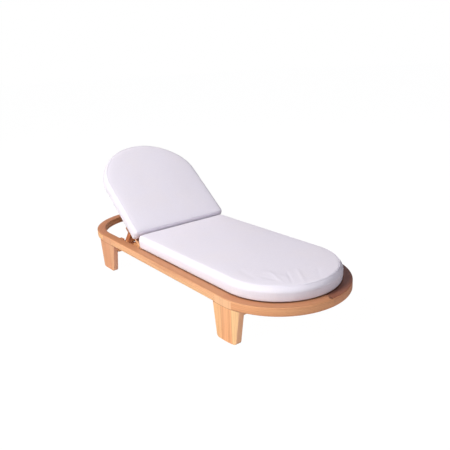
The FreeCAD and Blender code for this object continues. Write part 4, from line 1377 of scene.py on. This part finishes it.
    def build(self) -> None:
        """Make and dress the cushion, its welts and its stitching."""
        # The cushion and its low welt take the painted shade along the bottom; the top welt does
        # not.
        low_shaded = Canvas(f"canvas_{self.name}", self.seed, self.level, 0.85).build()
        plain = Canvas(f"canvas_{self.name}_welt", self.seed, self.level).build()
        piece = self._box()
        self._simulate(piece)
        self._tailor(piece)
        self._weave(piece)
        self._stitches(piece)
        write_points(piece, self.place(read_points(piece)))
        smooth(piece.data)
        dress(piece, low_shaded, self.body, "cushion_fabric", self.node)
        self._welt("top", self.seam, self.seam_inset, plain)
        self._welt("low", self.low_seam, self.low_inset, low_shaded)


def seat_outline(inset: float, count: int) -> Outline:
    """The seat cushion: a half circle about the foot hub, straight sides, two rear corners."""
    half, rear, corner = 0.320, -0.239, 0.026
    sweep = np.linspace(-QUARTER, QUARTER, 300)
    foot = np.column_stack([S.hub + (half - inset) * np.cos(sweep), (half - inset) * np.sin(sweep)])
    turn = np.linspace(0.0, QUARTER, 40)
    left = np.column_stack([rear + corner - (corner - inset) * np.sin(turn),
                            half - corner + (corner - inset) * np.cos(turn)])
    right = (left * np.array([1.0, -1.0]))[::-1]
    return even_loop(np.concatenate([foot, left, right]), count)


def back_outline(inset: float, count: int) -> Outline:
    """The back cushion in (-distance up the back, across), 6 to 8 mm outside its frame's arch."""
    arch = Arch(0.328, 0.291, 0.256, 0.478)
    return tuple(pair[:, ::-1] * np.array([-1.0, 1.0])
                 for pair in arch.outline(0.080, 0.014, inset, count))


# The two cushions. The creases are the soft ones that the foot end and the back panel show.
SEAT_CUSHION = Cushion(
    "cushion_seat", "seat_cushion", "base", seat_outline, lambda points: points, 0.2253, 3, -1.0,
    creases=(Crease((0.74, -0.20), (0.85, -0.17), 0.012, 0.0016),
             Crease((0.70, -0.15), (0.86, -0.12), 0.020, -0.0016),
             Crease((0.60, -0.22), (0.78, -0.24), 0.016, 0.0012),
             Crease((0.793, -0.075), (0.910, -0.150), 0.008, 0.0018),
             Crease((0.806, -0.016), (0.946, -0.106), 0.011, -0.0018),
             Crease((0.730, -0.130), (0.885, -0.178), 0.010, -0.0016),
             Crease((0.859, 0.071), (0.945, -0.010), 0.012, 0.0014),
             Crease((0.30, 0.05), (0.62, -0.10), 0.050, -0.0012),
             Crease((-0.10, 0.10), (0.20, -0.05), 0.060, 0.0012)))
# The back cushion's canvas level over 1 is painted light: its colour is lifted above the seat's.
BACK_CUSHION = Cushion(
    "cushion_back", "back_cushion", "back", back_outline, S.back_to_world, 0.0323, 8, 1.0, 1.05,
    square=0.75, rim_shade=(0.09, 0.12),
    creases=(Crease((-0.30, -0.12), (-0.55, -0.05), 0.045, 0.0014),
             Crease((-0.20, 0.15), (-0.45, 0.08), 0.050, -0.0012)))


# Studio.


def direction(azimuth: float, elevation: float) -> Vector:
    """The way towards an azimuth, counted from +X, and an elevation, both in degrees."""
    turn, lift = math.radians(azimuth), math.radians(elevation)
    flat = math.cos(lift)
    return Vector((math.cos(turn) * flat, math.sin(turn) * flat, math.sin(lift)))


@dataclass(frozen=True)
class Lamp:
    """A round lamp far off: where it stands as seen from the lounger, in degrees, and the level to
    which it lights a white card that faces it."""

    name: str
    azimuth: float
    elevation: float
    level: float
    colour: Colour
    spread: float = 22.0
    distance: float = 7.0
    aim_height: float = 0.3

    def build(self) -> None:
        """Hang the lamp: level = power / (pi^2 * distance^2)."""
        way = direction(self.azimuth, self.elevation)
        data = bpy.data.lights.new(self.name, "AREA")
        data.shape = "DISK"
        data.size = 2.0 * self.distance * math.tan(math.radians(self.spread / 2))
        data.energy = self.level * (math.pi * self.distance) ** 2
        data.color = self.colour
        lamp = bpy.data.objects.new(self.name, data)
        lamp.location = way * self.distance + Vector((0.0, 0.0, self.aim_height))
        lamp.rotation_euler = way.to_track_quat("Z", "Y").to_euler()
        bpy.context.scene.collection.objects.link(lamp)


@dataclass(frozen=True)
class Studio:
    """A pale floor, a broad key lamp with soft fills, and the photograph's camera."""

    azimuth: float = 53.0597
    elevation: float = 17.603
    roll: float = -2.8265
    target: Place = (0.2141, 0.0015, 0.4029)
    distance: float = 2.9231
    lens: float = 40.94
    ambient: Colour = (0.072, 0.068, 0.100)
    bounce: Colour = (0.60, 0.58, 0.58)
    paper: Colour = (0.86, 0.86, 0.86)
    glow: float = 1.04
    glow_share: float = 0.955
    half_floor: float = 60.0

    LAMPS = (
        Lamp("key", -92.0, 42.0, 0.93, (0.95, 1.0, 0.98)),
        Lamp("high_fill", -120.0, 50.0, 0.26, (1.0, 0.74, 0.68), 30.0),
        Lamp("foot_fill", -10.0, 18.0, 0.25, (1.0, 0.98, 0.97), 40.0),
        Lamp("rear_fill", 120.0, 30.0, 0.08, (0.94, 0.94, 1.0), 40.0),
    )

    def camera(self) -> None:
        """Look at the target from the distance: right and up are turned by the roll."""
        back, roll = direction(self.azimuth - 90.0, self.elevation), math.radians(self.roll)
        right = (-back).cross(Vector((0, 0, 1))).normalized()
        up = right.cross(-back)
        turned = right * math.cos(roll) + up * math.sin(roll)
        raised = up * math.cos(roll) - right * math.sin(roll)
        data = bpy.data.cameras.new("camera")
        data.lens = self.lens
        data.sensor_width = 36.0
        data.clip_end = 200.0
        made = bpy.data.objects.new("camera", data)
        turn = Matrix((turned, raised, back)).transposed().to_4x4()
        made.matrix_world = Matrix.Translation(Vector(self.target) + back * self.distance) @ turn
        bpy.context.scene.collection.objects.link(made)
        bpy.context.scene.camera = made

    def floor(self) -> None:
        """A wide pale floor that shows white and keeps a faint shadow."""
        graph = Graph.material("floor_paper")
        seen = graph.camera_ray()
        paper = graph.mix(seen, self.bounce, self.paper)
        glow = graph.node("Emission", None, {"Color": (*WHITE, 1.0), "Strength": self.glow})
        diffuse = graph.node("BsdfDiffuse", None, {"Color": paper})
        shaders = {0: seen * self.glow_share, 1: diffuse, 2: glow}
        material = graph.close(graph.node("MixShader", None, shaders))
        corners = np.array([(-1, -1, 0), (1, -1, 0), (1, 1, 0), (-1, 1, 0)]) * self.half_floor
        floor = make_object("studio_floor", corners, [[0, 1, 2, 3]])
        floor.data.materials.append(material)

    def world(self) -> None:
        """A dim ambient light that shows as plain white behind the object."""
        graph = Graph(bpy.data.worlds.new("studio"), "OutputWorld")
        dim, bright = (graph.node("Background", None, {"Color": (*colour, 1.0)})
                       for colour in (self.ambient, WHITE))
        shaders = {0: graph.camera_ray(), 1: dim, 2: bright}
        bpy.context.scene.world = graph.close(graph.node("MixShader", None, shaders))

    def build(self) -> None:
        """Make the studio."""
        bpy.context.scene.view_settings.view_transform = "Standard"
        self.camera()
        self.floor()
        self.world()
        for lamp in self.LAMPS:
            lamp.build()


def main() -> None:
    """Build the lounger's looks in order."""
    logging.basicConfig(level=logging.INFO, format="%(message)s")
    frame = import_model()
    for part in (Studio(), Ring(), Legs(), Deck(), BackFrame()):
        part.build()
    KeptSolids().build(frame)
    SEAT_CUSHION.build()
    BACK_CUSHION.build()


if __name__ == "__main__":
    main()
